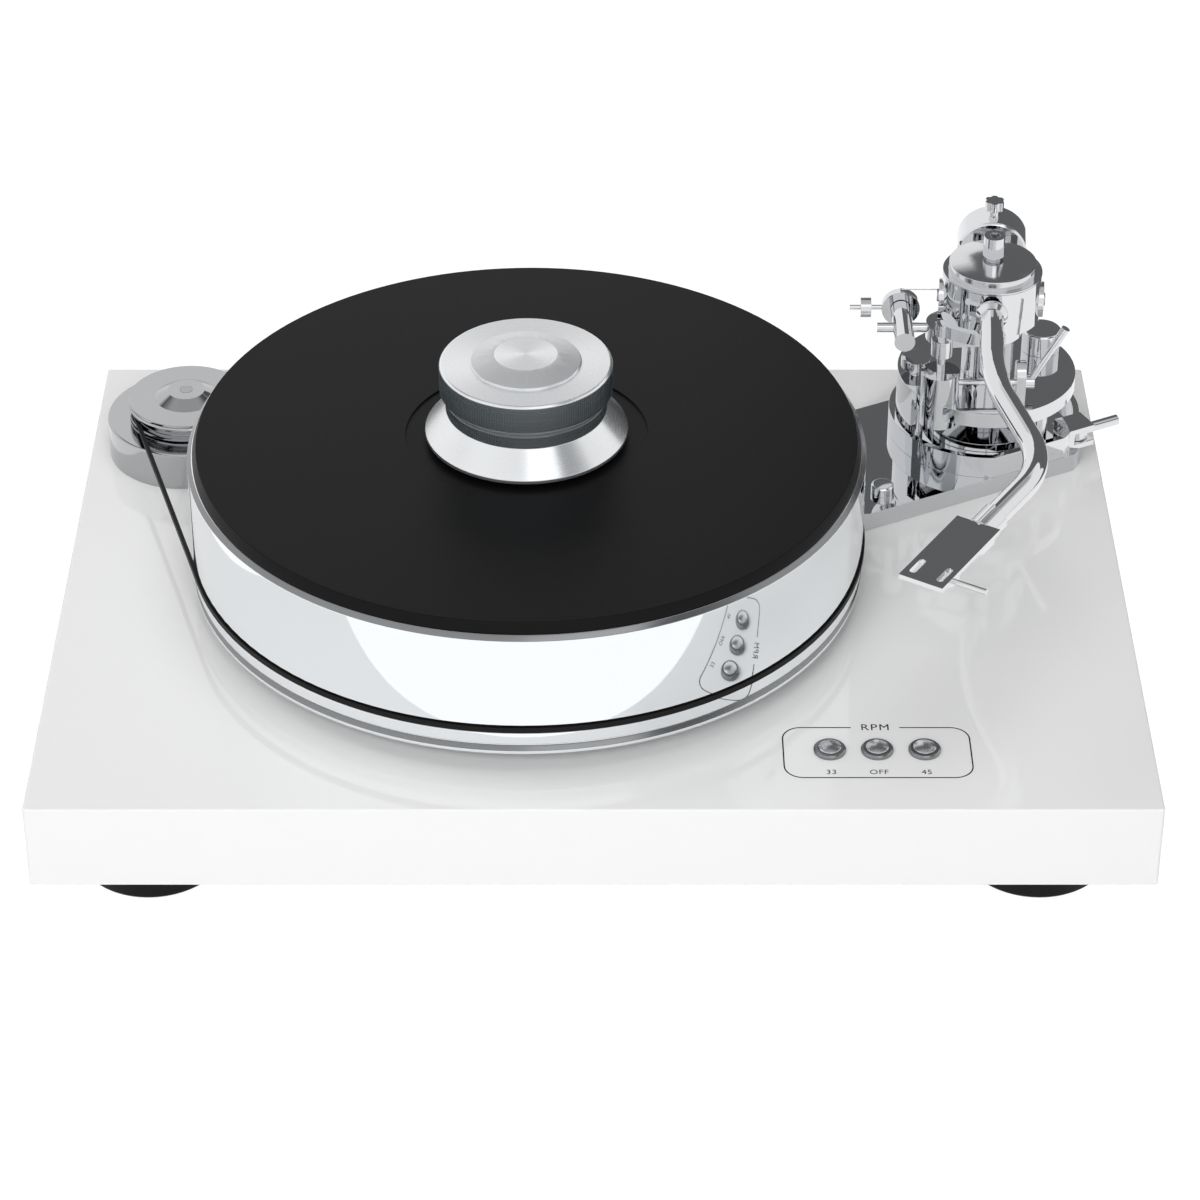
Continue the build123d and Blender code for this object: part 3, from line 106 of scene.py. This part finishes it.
# White polyester lacquer, flatted and polished: an even pale coat with a clear, barely rippled gloss.
lacquer, tree, shader = finish("white_polished_lacquer", "#EBEBEB", roughness=0.05,
                               Coat_Weight=0.25, Coat_Roughness=0.02)
grain(tree, shader, 9.0, 0.03, 0.06, bump_mm=0.0012, detail=1.0)

# Pressed vinyl mat: near black, satin, with a fine dry grain that softens every highlight.
mat_vinyl, tree, shader = finish("black_satin_vinyl", "#0C0C0D", roughness=0.42, Specular_IOR_Level=0.12)
grain(tree, shader, 0.8, 0.36, 0.48, bump_mm=0.02, detail=3.0)

# Mirror-polished aluminium under clear lacquer: reflections stay sharp, with a faint cool tint.
mirror_aluminium, tree, shader = finish("polished_aluminium", "#F1F4F6", metallic=1.0, roughness=0.03)
grain(tree, shader, 30.0, 0.02, 0.05)


def lathe(name, colour, centre, low, high, feed_mm):
    """Metal turned about an upright axis: feed rings in the roughness, a sheen drawn out across them."""
    made, tree, shader = finish(name, colour, metallic=1.0, roughness=high,
                                Anisotropic=0.75, Anisotropic_Rotation=0.25)
    place = add(tree, "ShaderNodeTexCoord")
    arm = add(tree, "ShaderNodeVectorMath", {"operation": "SUBTRACT", 1: centre}, {0: (place, "Object")})
    level = add(tree, "ShaderNodeVectorMath", {"operation": "MULTIPLY", 1: (1, 1, 0)}, {0: (arm, 0)})
    around = add(tree, "ShaderNodeVectorMath", {"operation": "CROSS_PRODUCT", 0: (0, 0, 1)},
                 {1: (level, 0)})
    ring = add(tree, "ShaderNodeVectorTransform", {"convert_from": "OBJECT", "convert_to": "WORLD"},
               {0: (around, 0)})
    tree.links.new(ring.outputs[0], shader.inputs["Tangent"])
    reach = add(tree, "ShaderNodeVectorMath", {"operation": "LENGTH"}, {0: (level, 0)})
    axes = add(tree, "ShaderNodeSeparateXYZ", {}, {0: (arm, 0)})
    along = add(tree, "ShaderNodeMath", {"operation": "SUBTRACT"}, {0: (reach, "Value"), 1: (axes, "Z")})
    feed = add(tree, "ShaderNodeTexNoise",
               {"noise_dimensions": "1D", "Scale": 1 / (feed_mm * MM), "Detail": 2.0}, {"W": (along, 0)})
    spread = add(tree, "ShaderNodeMapRange", {"To Min": low, "To Max": high}, {"Value": (feed, 0)})
    tree.links.new(spread.outputs[0], shader.inputs["Roughness"])
    return made


def middle(node):
    """Centre of a node's box."""
    low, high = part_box(node)
    return (Vector(low) + Vector(high)) / 2


# Fine-turned aluminium of the clamp: pale, with close feed rings that fan out each highlight.
turned = lathe("fine_turned_aluminium", "#EEF0F2", middle("clamp_grip"), 0.24, 0.31, 0.35)

# Straight knurl on the clamp's sides: the clamp's aluminium in a darker cool grey, painted shade of the
# grooves between the ribs, so that the ribs also hold the dark of the mat below.
knurl_painted_shade = lathe("straight_knurled_aluminium_painted_shade", "#AEB6BA", middle("clamp_grip"), 0.24, 0.34, 0.5)

# Rubbed aluminium of the boss on the clamp: dulled after turning, so that its cone stays pale and even.
rubbed, tree, shader = finish("rubbed_aluminium", "#EEF0F2", metallic=1.0, roughness=0.5)
grain(tree, shader, 0.3, 0.45, 0.55)

# Satin-turned aluminium of the motor: darker and smoother than the clamp, a soft mirror of what is round it.
satin = lathe("satin_turned_aluminium", "#B4B5B7", middle("pulley"), 0.06, 0.11, 0.8)

# Bevels turned on the platter's rim: the same aluminium in a darker satin grey, a painted reflection of grey
# surroundings and of the shade under the platter, as lines that frame the mirror between them.
bevel_painted_reflection = lathe("satin_turned_bevel_painted_reflection", "#8C8D8F", middle("platter"), 0.2, 0.3, 0.5)

# Chrome plate over polished brass: a bright mirror, slightly bluish, with traces of handling.
chrome, tree, shader = finish("bright_chrome", "#DCDDDF", metallic=1.0, roughness=0.03)
grain(tree, shader, 12.0, 0.015, 0.06)

# Hand-polished chrome of the drum's domed cap: a softer mirror that fades from light to dark.
soft_chrome, tree, shader = finish("soft_polished_chrome", "#D8D9DB", metallic=1.0, roughness=0.13)
grain(tree, shader, 8.0, 0.11, 0.15)

# Mirror-finished steel plate of the armboard: a flat dark grey where it faces the flag, pale at its edge.
mirror_steel, tree, shader = finish("mirror_steel", "#D4D5D7", metallic=1.0, roughness=0.02)
grain(tree, shader, 40.0, 0.01, 0.04)

# Pearl chrome of the buttons: blasted before plating, so that reflections blur to a soft pale grey.
pearl, tree, shader = finish("pearl_chrome", "#D2D3D5", metallic=1.0, roughness=0.2)
grain(tree, shader, 0.4, 0.15, 0.25)

# Black nickel of the button bezels: a grey plate with a soft gloss.
nickel, tree, shader = finish("black_nickel", "#8E9092", metallic=1.0, roughness=0.24)
grain(tree, shader, 2.0, 0.18, 0.3)

# Ground steel of shafts and screws: dull grey, with a fine grain that breaks up the shine.
ground, tree, shader = finish("ground_steel", "#B4B4B6", metallic=1.0, roughness=0.22)
grain(tree, shader, 0.4, 0.16, 0.3)

# Moulded black plastic of the feet: satin and deep, so that they stay dark under the white plinth.
foot_black, tree, shader = finish("black_moulded_plastic", "#090909", roughness=0.4, Specular_IOR_Level=0.15)
grain(tree, shader, 0.7, 0.34, 0.46, bump_mm=0.01)

# Rubber of the foot pads and the damping ring: matt, slightly dusty black.
rubber, tree, shader = finish("black_rubber", "#161616", roughness=0.7)
grain(tree, shader, 0.5, 0.6, 0.8, bump_mm=0.01)

# Ground rubber belt: a flat strip, darker than the pads and a little shiny from running.
belt, tree, shader = finish("ground_belt_rubber", "#0A0A0A", roughness=0.5, Specular_IOR_Level=0.2)
grain(tree, shader, 0.6, 0.42, 0.6)

# Short wool felt under the clamp: dark grey with no shine.
felt, tree, shader = finish("grey_felt", "#2A2A2C", roughness=0.95)
grain(tree, shader, 0.3, 0.9, 1.0, bump_mm=0.08, detail=6.0)

# Turned brass of the main bearing: warm yellow with a soft gloss.
brass, tree, shader = finish("turned_brass", "#C9A45A", metallic=1.0, roughness=0.25)
grain(tree, shader, 0.6, 0.18, 0.32)

# Gold flash over brass on the sockets: warm and bright, the only strong colour outside.
gilt, tree, shader = finish("gold_plate", "#E2B765", metallic=1.0, roughness=0.12)
grain(tree, shader, 3.0, 0.08, 0.16)

# Powder coat of the connection plate, the cover and the motor: black with a fine pebble.
powder, tree, shader = finish("black_powder_coat", "#1B1B1C", roughness=0.55)
grain(tree, shader, 0.5, 0.45, 0.65, bump_mm=0.03)

# Glass-fibre board under green solder mask: deep green with an even half gloss.
board, tree, shader = finish("green_solder_mask", "#174A2C", roughness=0.35)
grain(tree, shader, 1.0, 0.3, 0.42)

# Screen-printed ink of the legends: a dry near black on the lacquer.
ink, tree, shader = finish("screen_printed_ink", "#0E0F10", roughness=0.5, Specular_IOR_Level=0.1)
grain(tree, shader, 0.3, 0.45, 0.55)

# Fine nylon thread: a pale grey line that hardly shows against the white.
nylon, tree, shader = finish("nylon_thread", "#C9C9C9", roughness=0.4)
grain(tree, shader, 0.3, 0.35, 0.5)


def settle(shape, name, crease):
    """Turns a bmesh into an object at the origin: smooth but for sharp edges, with flat faces kept flat."""
    bmesh.ops.recalc_face_normals(shape, faces=shape.faces)
    for face in shape.faces:
        face.smooth = True
    mesh = bpy.data.meshes.new(name)
    shape.to_mesh(mesh)
    shape.free()
    mesh.set_sharp_from_angle(angle=math.radians(crease))
    made = bpy.data.objects.new(name, mesh)
    bpy.context.collection.objects.link(made)
    weighted = made.modifiers.new("flat_faces", "WEIGHTED_NORMAL")
    weighted.keep_sharp = True
    graph = bpy.context.evaluated_depsgraph_get()
    made.data = bpy.data.meshes.new_from_object(made.evaluated_get(graph))
    made.modifiers.clear()
    return made


def refined(node, look, edge_mm, crease=SHARP_DEG, flat=FLAT_DEG, split_z=None):
    """Copy of a CAD node with welded faces and eased edges, in the given finish, that stands for the node.
    Its faces are parted at the level where two finishes meet, if one is given."""
    shape = bmesh.new()
    shape.from_mesh(frame["nodes"][node].data)
    bmesh.ops.remove_doubles(shape, verts=shape.verts, dist=WELD_MM * MM)
    bmesh.ops.dissolve_limit(shape, angle_limit=math.radians(flat), verts=shape.verts, edges=shape.edges)
    if edge_mm:
        limit = math.radians(SHARP_DEG)
        sharp = [e for e in shape.edges if len(e.link_faces) == 2 and e.calc_face_angle(0) > limit]
        bmesh.ops.bevel(shape, geom=sharp, offset=edge_mm * MM, offset_type="OFFSET", segments=2, profile=0.5,
                        affect="EDGES", clamp_overlap=True)
    if split_z is not None:
        whole = list(shape.verts) + list(shape.edges) + list(shape.faces)
        bmesh.ops.bisect_plane(shape, geom=whole, plane_co=(0, 0, split_z), plane_no=(0, 0, 1),
                               dist=WELD_MM * MM)
    made = settle(shape, node + "_piece", crease)
    made.data.materials.clear()
    made.data.materials.append(look)
    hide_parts(node)
    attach(made, body_of[node])
    return made


refined("plinth", lacquer, 0.0)

# A face's slope is the upward share of its normal: 0 on a wall, 1 on a flat top.
made = refined("platter", mirror_aluminium, 0.25)
# Faces between wall and top, the rim's bevels, take the darker grey: a painted reflection, not a different
# metal.
made.data.materials.append(bevel_painted_reflection)
wall_slope, top_slope = 0.25, 0.97
for face in made.data.polygons:
    if wall_slope < abs(face.normal.z) < top_slope:
        face.material_index = 1
refined("platter_mat", mat_vinyl, 0.3)

# The clamp's walls are knurled, in the grey with painted shade, between its boss and its skirt, but for a
# plain band at the top of the neck.
axis = middle("clamp_grip")
neck_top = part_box("clamp_grip")[0][2]
neck_band, boss_r, skirt_r = 2.2 * MM, 30 * MM, 40 * MM
upright_slope, cone_slope = 0.1, 0.9
for piece in ("clamp_base", "clamp_grip"):
    made = refined(piece, turned, 0.3, STEP_DEG, FACET_DEG, split_z=neck_top - neck_band)
    made.data.materials.append(knurl_painted_shade)
    made.data.materials.append(rubbed)
    for face in made.data.polygons:
        reach = (face.center - axis).to_2d().length
        plain = -neck_band < face.center.z - neck_top < 0
        if abs(face.normal.z) < upright_slope and boss_r < reach < skirt_r and not plain:
            face.material_index = 1
        elif cone_slope < face.normal.z < top_slope and reach < boss_r:
            face.material_index = 2

refined("motor_housing", satin, 0.3, flat=FACET_DEG)
refined("pulley", satin, 0.2, STEP_DEG, FACET_DEG)
refined("armboard", mirror_steel, 0.3)
for piece in ("arm_base_ring", "arm_platform", "arm_pillar", "bearing_flange", "lead_cap", "arm_drum",
              "counterweight", "headshell_collar", "headshell"):
    refined(piece, chrome, 0.25)
for piece in ("armboard_bolts", "base_lever", "platform_posts", "lock_screw", "cap_knob", "arm_tube",
              "balance_rod", "finger_lift", "counterweight_screw", "lift_cylinder", "lift_bar",
              "lever_bracket", "cue_lever", "outrigger_bar", "outrigger_housing", "skating_wheel",
              "skating_weight"):
    refined(piece, chrome, 0.15)
button_names = ("button_slow", "button_off", "button_fast")
for piece in button_names:
    refined(piece, pearl, 0.2)
refined("drum_cap", soft_chrome, 0.25)
refined("button_bezels", nickel, 0.2)
refined("feet", foot_black, 0.5)
refined("pivot_screws", ground, 0.15)
refined("drive_belt", belt, 0.0)
refined("connector_panel", powder, 0.2)
refined("phono_sockets", gilt, 0.15)
refined("ground_terminal", gilt, 0.15)
refined("power_inlet", foot_black, 0.2)

# Hidden and very small nodes keep their CAD mesh.
for node, look in {
    "base_cover": powder, "foot_pads": rubber, "bearing_housing": brass, "thrust_pad": foot_black,
    "spindle": ground, "damping_ring": rubber, "clamp_pad": felt, "motor": powder, "motor_shaft": ground,
    "yaw_spindle": ground, "pivot_block": chrome, "control_board": board, "button_switches": foot_black,
    "skating_thread": nylon,
}.items():
    shown = frame["nodes"][node]
    shown.data.materials.clear()
    shown.data.materials.append(look)


# Speed legends: a ruled frame round the buttons, with plain numbers below them, printed on the lacquer.
def printed(shape, words, size_mm, place, spacing, rise_mm=0.02):
    """Adds flat lettering to a mesh under construction, centred on a point of the deck."""
    curve = bpy.data.curves.new("lettering", "FONT")
    curve.body = words
    curve.size = size_mm * MM
    curve.space_character = spacing
    curve.align_x = "CENTER"
    curve.align_y = "CENTER"
    curve.extrude = rise_mm * MM
    text = bpy.data.objects.new("lettering", curve)
    bpy.context.collection.objects.link(text)
    mesh = bpy.data.meshes.new_from_object(text.evaluated_get(bpy.context.evaluated_depsgraph_get()))
    bpy.data.objects.remove(text)
    mesh.transform(Matrix.Translation(place))
    shape.from_mesh(mesh)


def ruled(shape, path, width_mm, z, rise_mm=0.04):
    """Adds a thin raised line along a path on the deck to a mesh under construction."""
    rows = []
    for i, here in enumerate(path):
        before, after = path[max(i - 1, 0)], path[min(i + 1, len(path) - 1)]
        across = Vector((before[1] - after[1], after[0] - before[0], 0)).normalized() * width_mm / 2 * MM
        low, rise = Vector((here[0], here[1], z)), Vector((0, 0, rise_mm * MM))
        left, right = low + across, low - across
        rows.append([shape.verts.new(spot) for spot in (left, right, right + rise, left + rise)])
    for one, two in zip(rows, rows[1:]):
        for i in range(4):
            shape.faces.new((one[i], two[i], two[i - 1], one[i - 1]))
    shape.faces.new(rows[0])
    shape.faces.new(reversed(rows[-1]))


buttons = [[(a + b) / 2 for a, b in zip(*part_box(name))] for name in button_names]
deck_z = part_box("plinth")[1][2]
line_z, print_z = deck_z + 0.01 * MM, deck_z + 0.03 * MM
mid_x, mid_y = buttons[1][0], buttons[1][1]
half_w, low_y, high_y = 40.2 * MM, mid_y - 19.0 * MM, mid_y + 16.6 * MM
corner, gap, arc_steps = 8.0 * MM, 10.5 * MM, 8
line_mm, heading_mm, label_mm, label_y = 0.6, 6.2, 4.4, mid_y - 15.2 * MM
heading_spacing, label_spacing, print_weld_mm = 1.15, 1.1, 0.001
corners = ((half_w, high_y, 90), (half_w, low_y, 0), (-half_w, low_y, -90), (-half_w, high_y, -180))
path = [(mid_x + gap, high_y)]
for x, y, start in corners:
    centre = (mid_x + x - math.copysign(corner, x), y - math.copysign(corner, y - mid_y))
    for step in range(arc_steps + 1):
        angle = math.radians(start - 90 * step / arc_steps)
        path.append((centre[0] + corner * math.cos(angle), centre[1] + corner * math.sin(angle)))
path.append((mid_x - gap, high_y))
shape = bmesh.new()
ruled(shape, path, line_mm, line_z)
printed(shape, "RPM", heading_mm, (mid_x, high_y, print_z), heading_spacing)
for words, spot in zip(("33", "OFF", "45"), buttons):
    printed(shape, words, label_mm, (spot[0], label_y, print_z), label_spacing)
bmesh.ops.remove_doubles(shape, verts=shape.verts, dist=print_weld_mm * MM)
bmesh.ops.recalc_face_normals(shape, faces=shape.faces)
mesh = bpy.data.meshes.new("speed_legends")
shape.to_mesh(mesh)
shape.free()
mesh.materials.append(ink)
legends = bpy.data.objects.new("speed_legends", mesh)
bpy.context.collection.objects.link(legends)
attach(legends, "deck")


# Small repeats: socket screws of the cover and the connection plate, knurls of the ground nut and the clamp.
def repeats(name, body, points, look, build, values):
    """One mesh on a body, with an instance built at every point: values set the group's named inputs."""
    group = bpy.data.node_groups.new(name, "GeometryNodeTree")
    group.interface.new_socket("Geometry", in_out="INPUT", socket_type="NodeSocketGeometry")
    group.interface.new_socket("Geometry", in_out="OUTPUT", socket_type="NodeSocketGeometry")
    for key, value in values.items():
        kind = {tuple: "Vector", int: "Int", float: "Float"}[type(value)]
        group.interface.new_socket(key, in_out="INPUT", socket_type="NodeSocket" + kind)
    start = add(group, "NodeGroupInput")
    placed = build(group, start)
    whole = add(group, "GeometryNodeRealizeInstances", {}, {0: (placed, 0)})
    clad = add(group, "GeometryNodeSetMaterial", {"Material": look}, {0: (whole, 0)})
    add(group, "NodeGroupOutput", {}, {0: (clad, 0)})
    base = bpy.data.meshes.new(name)
    base.from_pydata(points, [], [])
    made = bpy.data.objects.new(name, base)
    bpy.context.collection.objects.link(made)
    modifier = made.modifiers.new(name, "NODES")
    modifier.node_group = group
    for socket in group.interface.items_tree:
        if socket.in_out == "INPUT" and socket.name in values:
            modifier[socket.identifier] = values[socket.name]
    graph = bpy.context.evaluated_depsgraph_get()
    made.data = bpy.data.meshes.new_from_object(made.evaluated_get(graph))
    made.modifiers.clear()
    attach(made, body)


def socket_screws(group, start):
    """Cylinder head with a hexagon socket at each point, turned to face outward."""
    head = add(group, "GeometryNodeMeshCylinder", {"Vertices": ROUND_SIDES},
               {"Radius": (start, "Head Radius"), "Depth": (start, "Head Height")})
    key = add(group, "GeometryNodeMeshCylinder", {"Vertices": HEX_SIDES},
              {"Radius": (start, "Key Radius"), "Depth": (start, "Head Height")})
    shift = add(group, "ShaderNodeCombineXYZ", {}, {"Z": (start, "Key Offset")})
    lifted = add(group, "GeometryNodeTransform", {}, {0: (key, 0), "Translation": (shift, 0)})
    cut = add(group, "GeometryNodeMeshBoolean", {"operation": "DIFFERENCE"}, {0: (head, 0), 1: (lifted, 0)})
    return add(group, "GeometryNodeInstanceOnPoints", {},
               {0: (start, "Geometry"), 2: (cut, 0), "Rotation": (start, "Turn")})


def ribs(group, start):
    """Ring of upright ribs at each point, turned to the axis of what they grip."""
    ring = add(group, "GeometryNodeMeshCircle", {},
               {"Vertices": (start, "Count"), "Radius": (start, "Ring Radius")})
    bar = add(group, "GeometryNodeMeshCube", {}, {"Size": (start, "Rib Size")})
    way = add(group, "GeometryNodeInputPosition")
    aimed = add(group, "FunctionNodeAlignRotationToVector", {"axis": "X"}, {"Vector": (way, 0)})
    crown = add(group, "GeometryNodeInstanceOnPoints", {},
                {0: (ring, 0), 2: (bar, 0), "Rotation": (aimed, 0)})
    return add(group, "GeometryNodeInstanceOnPoints", {},
               {0: (start, "Geometry"), 2: (crown, 0), "Rotation": (start, "Turn")})


downward, backward = (math.pi, 0.0, 0.0), (-math.pi / 2, 0.0, 0.0)
lying, standing = (math.pi / 2, 0.0, 0.0), (0.0, 0.0, 0.0)
inset, head_h = 3.4 * MM, 1.4 * MM
screw = {"Head Radius": 2.4 * MM, "Head Height": head_h, "Key Radius": 1.3 * MM, "Key Offset": 0.5 * MM}
low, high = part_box("base_cover")
columns, rows = (low[0] + inset, high[0] - inset), (low[1] + inset, high[1] - inset)
spots = [(x, y, low[2] - head_h / 2) for x in columns for y in rows]
repeats("cover_screws", "deck", spots, ground, socket_screws, dict(screw, Turn=downward))
low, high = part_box("connector_panel")
columns, rows = (low[0] + inset, high[0] - inset), (low[2] + inset, high[2] - inset)
spots = [(x, high[1] + head_h / 2, z) for x in columns for z in rows]
repeats("panel_screws", "deck", spots, ground, socket_screws, dict(screw, Turn=backward))

nut_r, nut_h, nut_ribs, nut_share = 5.0 * MM, 5.0 * MM, 28, 0.8
low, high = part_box("ground_terminal")
spots = [((low[0] + high[0]) / 2, high[1] - nut_h / 2, (low[2] + high[2]) / 2)]
knurl = {"Count": nut_ribs, "Ring Radius": nut_r, "Rib Size": (0.5 * MM, 0.6 * MM, nut_h * nut_share),
         "Turn": lying}
repeats("terminal_knurl", "deck", spots, gilt, ribs, knurl)

# Knurled bands of the clamp, in the grey with painted shade: the ring's radius, its foot above the grip's
# lower edge and its height, in mm.
clamp_ribs = 200
for name, reach, foot, height in (("cap_knurl", 38.2, 2.0, 11.8), ("neck_knurl", 35.7, -7.4, 5.2)):
    spots = [(axis[0], axis[1], neck_top + (foot + height / 2) * MM)]
    knurl = {"Count": clamp_ribs, "Ring Radius": reach * MM, "Rib Size": (0.4 * MM, 0.6 * MM, height * MM),
             "Turn": standing}
    repeats(name, body_of["clamp_grip"], spots, knurl_painted_shade, ribs, knurl)


# Studio: a white sweep, soft lamps, and a grey flag behind the arm that only polished metal sees.
def card(name, outline, look):
    """Flat stage panel with the given corners."""
    mesh = bpy.data.meshes.new(name)
    mesh.from_pydata(outline, [], [range(len(outline))])
    mesh.materials.append(look)
    made = bpy.data.objects.new(name, mesh)
    bpy.context.collection.objects.link(made)
    return made


# White paper sweep: burnt out to the camera, so that nothing but soft contact shadows shows round the feet.
paper = bpy.data.materials.new("white_paper_sweep")
paper.use_nodes = True
tree = paper.node_tree
tree.nodes.clear()
paper_glow, paper_share = 1.12, 0.85
glow = add(tree, "ShaderNodeEmission", {"Color": WHITE, "Strength": paper_glow})
cloth = add(tree, "ShaderNodeBsdfDiffuse", {"Color": tint("#F4F4F4")})
rays = add(tree, "ShaderNodeLightPath")
seen = add(tree, "ShaderNodeMath", {"operation": "MAXIMUM"},
           {0: (rays, "Is Camera Ray"), 1: (rays, "Is Glossy Ray")})
clear = add(tree, "ShaderNodeMath", {"operation": "MAXIMUM"},
            {0: (seen, 0), 1: (rays, "Is Transmission Ray")})
share = add(tree, "ShaderNodeMath", {"operation": "MULTIPLY", 1: paper_share}, {0: (clear, 0)})
mixed = add(tree, "ShaderNodeMixShader", {}, {0: (share, 0), 1: (cloth, 0), 2: (glow, 0)})
add(tree, "ShaderNodeOutputMaterial", {}, {"Surface": (mixed, 0)})
half, drop = 7, -0.0005
card("floor", [(-half, -half, drop), (half, -half, drop), (half, half, drop), (-half, half, drop)], paper)


def panel_cloth(name, colour, strength):
    """Self-lit cloth of a studio panel."""
    made = bpy.data.materials.new(name)
    made.use_nodes = True
    made.node_tree.nodes.clear()
    glow = add(made.node_tree, "ShaderNodeEmission", {"Color": tint(colour), "Strength": strength})
    add(made.node_tree, "ShaderNodeOutputMaterial", {}, {"Surface": (glow, 0)})
    return made


# Grey flag cloth gives chrome its dark half. White silk gives the clamp's skirt and the arm a bright patch.
flag_grey = "#68696A"
grey = panel_cloth("grey_flag_cloth", flag_grey, 1.0)
silk = panel_cloth("white_silk", "#FFFFFF", 1.7)
back_y, floor_z = 0.85, 0.0005
outline = [(0.24, 0), (1.3, 0), (1.3, 0.55), (0.42, 0.9), (0.42, 1.5), (0.22, 1.5), (0.165, 0.75),
           (0.165, 0.52), (0.24, 0.45)]
panels = [card("back_flag", [(x, back_y, z) for x, z in outline], grey)]
outline = [(0.32, 0.22), (1.3, 0.22), (1.3, back_y), (0.32, back_y)]
panels.append(card("floor_flag", [(x, y, floor_z) for x, y in outline], grey))
outline = [(-0.04, -1.57, 1.39), (1.0, -1.24, 1.35), (0.9, -0.79, 1.75), (-0.04, -1.14, 1.79)]
panels.append(card("front_silk", outline, silk))
for panel in panels:
    for ray in ("camera", "diffuse", "shadow", "transmission", "volume_scatter"):
        setattr(panel, "visible_" + ray, False)

# Walls of the studio, as metal sees them by direction: white, dark high at the back, a grey wing at the right
# front and a paler roof. The camera sees plain white, and everything else takes a weak white fill.
world = bpy.data.worlds.new("white_studio")
bpy.context.scene.world = world
world.use_nodes = True
tree = world.node_tree
tree.nodes.clear()
rays = add(tree, "ShaderNodeLightPath")
clear = add(tree, "ShaderNodeMath", {"operation": "MAXIMUM"},
            {0: (rays, "Is Camera Ray"), 1: (rays, "Is Transmission Ray")})
way = add(tree, "ShaderNodeSeparateXYZ", {}, {0: (add(tree, "ShaderNodeTexCoord"), "Generated")})
high = add(tree, "ShaderNodeMapRange", {"From Min": 0.56, "From Max": 0.68}, {"Value": (way, "Z")})
back = add(tree, "ShaderNodeMapRange", {"From Min": -0.1, "From Max": 0.4}, {"Value": (way, "Y")})
shade = add(tree, "ShaderNodeMath", {"operation": "MULTIPLY"}, {0: (high, 0), 1: (back, 0)})
wall = add(tree, "ShaderNodeMix", {"data_type": "RGBA", 6: WHITE, 7: tint(flag_grey)}, {0: (shade, 0)})
right = add(tree, "ShaderNodeMapRange", {"From Min": 0.42, "From Max": 0.52}, {"Value": (way, "X")})
front = add(tree, "ShaderNodeMapRange", {"From Min": -0.05, "From Max": -0.2}, {"Value": (way, "Y")})
above = add(tree, "ShaderNodeMapRange", {"From Min": 0.45, "From Max": 0.6}, {"Value": (way, "Z")})
wing = add(tree, "ShaderNodeMath", {"operation": "MULTIPLY"}, {0: (right, 0), 1: (front, 0)})
dim = add(tree, "ShaderNodeMath", {"operation": "MULTIPLY"}, {0: (wing, 0), 1: (above, 0)})
sides = add(tree, "ShaderNodeMix", {"data_type": "RGBA", 7: tint("#7A7C7E")}, {0: (dim, 0), 6: (wall, 2)})
roof = add(tree, "ShaderNodeMapRange", {"From Min": 0.8, "From Max": 0.95}, {"Value": (way, "Z")})
tone = add(tree, "ShaderNodeMix", {"data_type": "RGBA", 7: tint("#C6C7C8")}, {0: (roof, 0), 6: (sides, 2)})
white = add(tree, "ShaderNodeBackground", {"Color": WHITE, "Strength": 1.0})
fill = add(tree, "ShaderNodeBackground", {"Color": WHITE, "Strength": 0.32})
studio = add(tree, "ShaderNodeBackground", {"Strength": 1.0}, {"Color": (tone, 2)})
metal = add(tree, "ShaderNodeMixShader", {}, {0: (rays, "Is Glossy Ray"), 1: (fill, 0), 2: (studio, 0)})
both = add(tree, "ShaderNodeMixShader", {}, {0: (clear, 0), 1: (metal, 0), 2: (white, 0)})
add(tree, "ShaderNodeOutputWorld", {}, {"Surface": (both, 0)})


def softbox(name, place, aim, width, height, watts):
    """Rectangular lamp at a place, turned to a point, that polished metal doesn't see."""
    lamp = bpy.data.lights.new(name, "AREA")
    lamp.shape = "RECTANGLE"
    lamp.size = width
    lamp.size_y = height
    lamp.energy = watts
    made = bpy.data.objects.new(name, lamp)
    made.location = place
    made.rotation_euler = (Vector(aim) - Vector(place)).to_track_quat("-Z", "Y").to_euler()
    made.visible_glossy = False
    bpy.context.collection.objects.link(made)


deck_centre = (0, 0, 0.05)
softbox("front_softbox", (-0.3, -2.27, 1.65), deck_centre, 2.4, 1.2, 50)
softbox("left_softbox", (-1.6, 0.4, 1.7), deck_centre, 0.9, 0.9, 6)
softbox("top_softbox", (0.1, -0.2, 2.4), deck_centre, 1.4, 1.4, 12)

# Camera: a long lens in front, looking down by 34.7 degrees, as fitted to the plinth and the platter.
lens = bpy.data.cameras.new("camera")
lens.sensor_width = 36.0
lens.lens = 118.71
camera = bpy.data.objects.new("camera", lens)
camera.location = (-0.002313, -1.4966, 1.0775)
camera.rotation_euler = (math.radians(55.30), 0, 0)
bpy.context.collection.objects.link(camera)
bpy.context.scene.camera = camera
bpy.context.scene.view_settings.view_transform = "Standard"
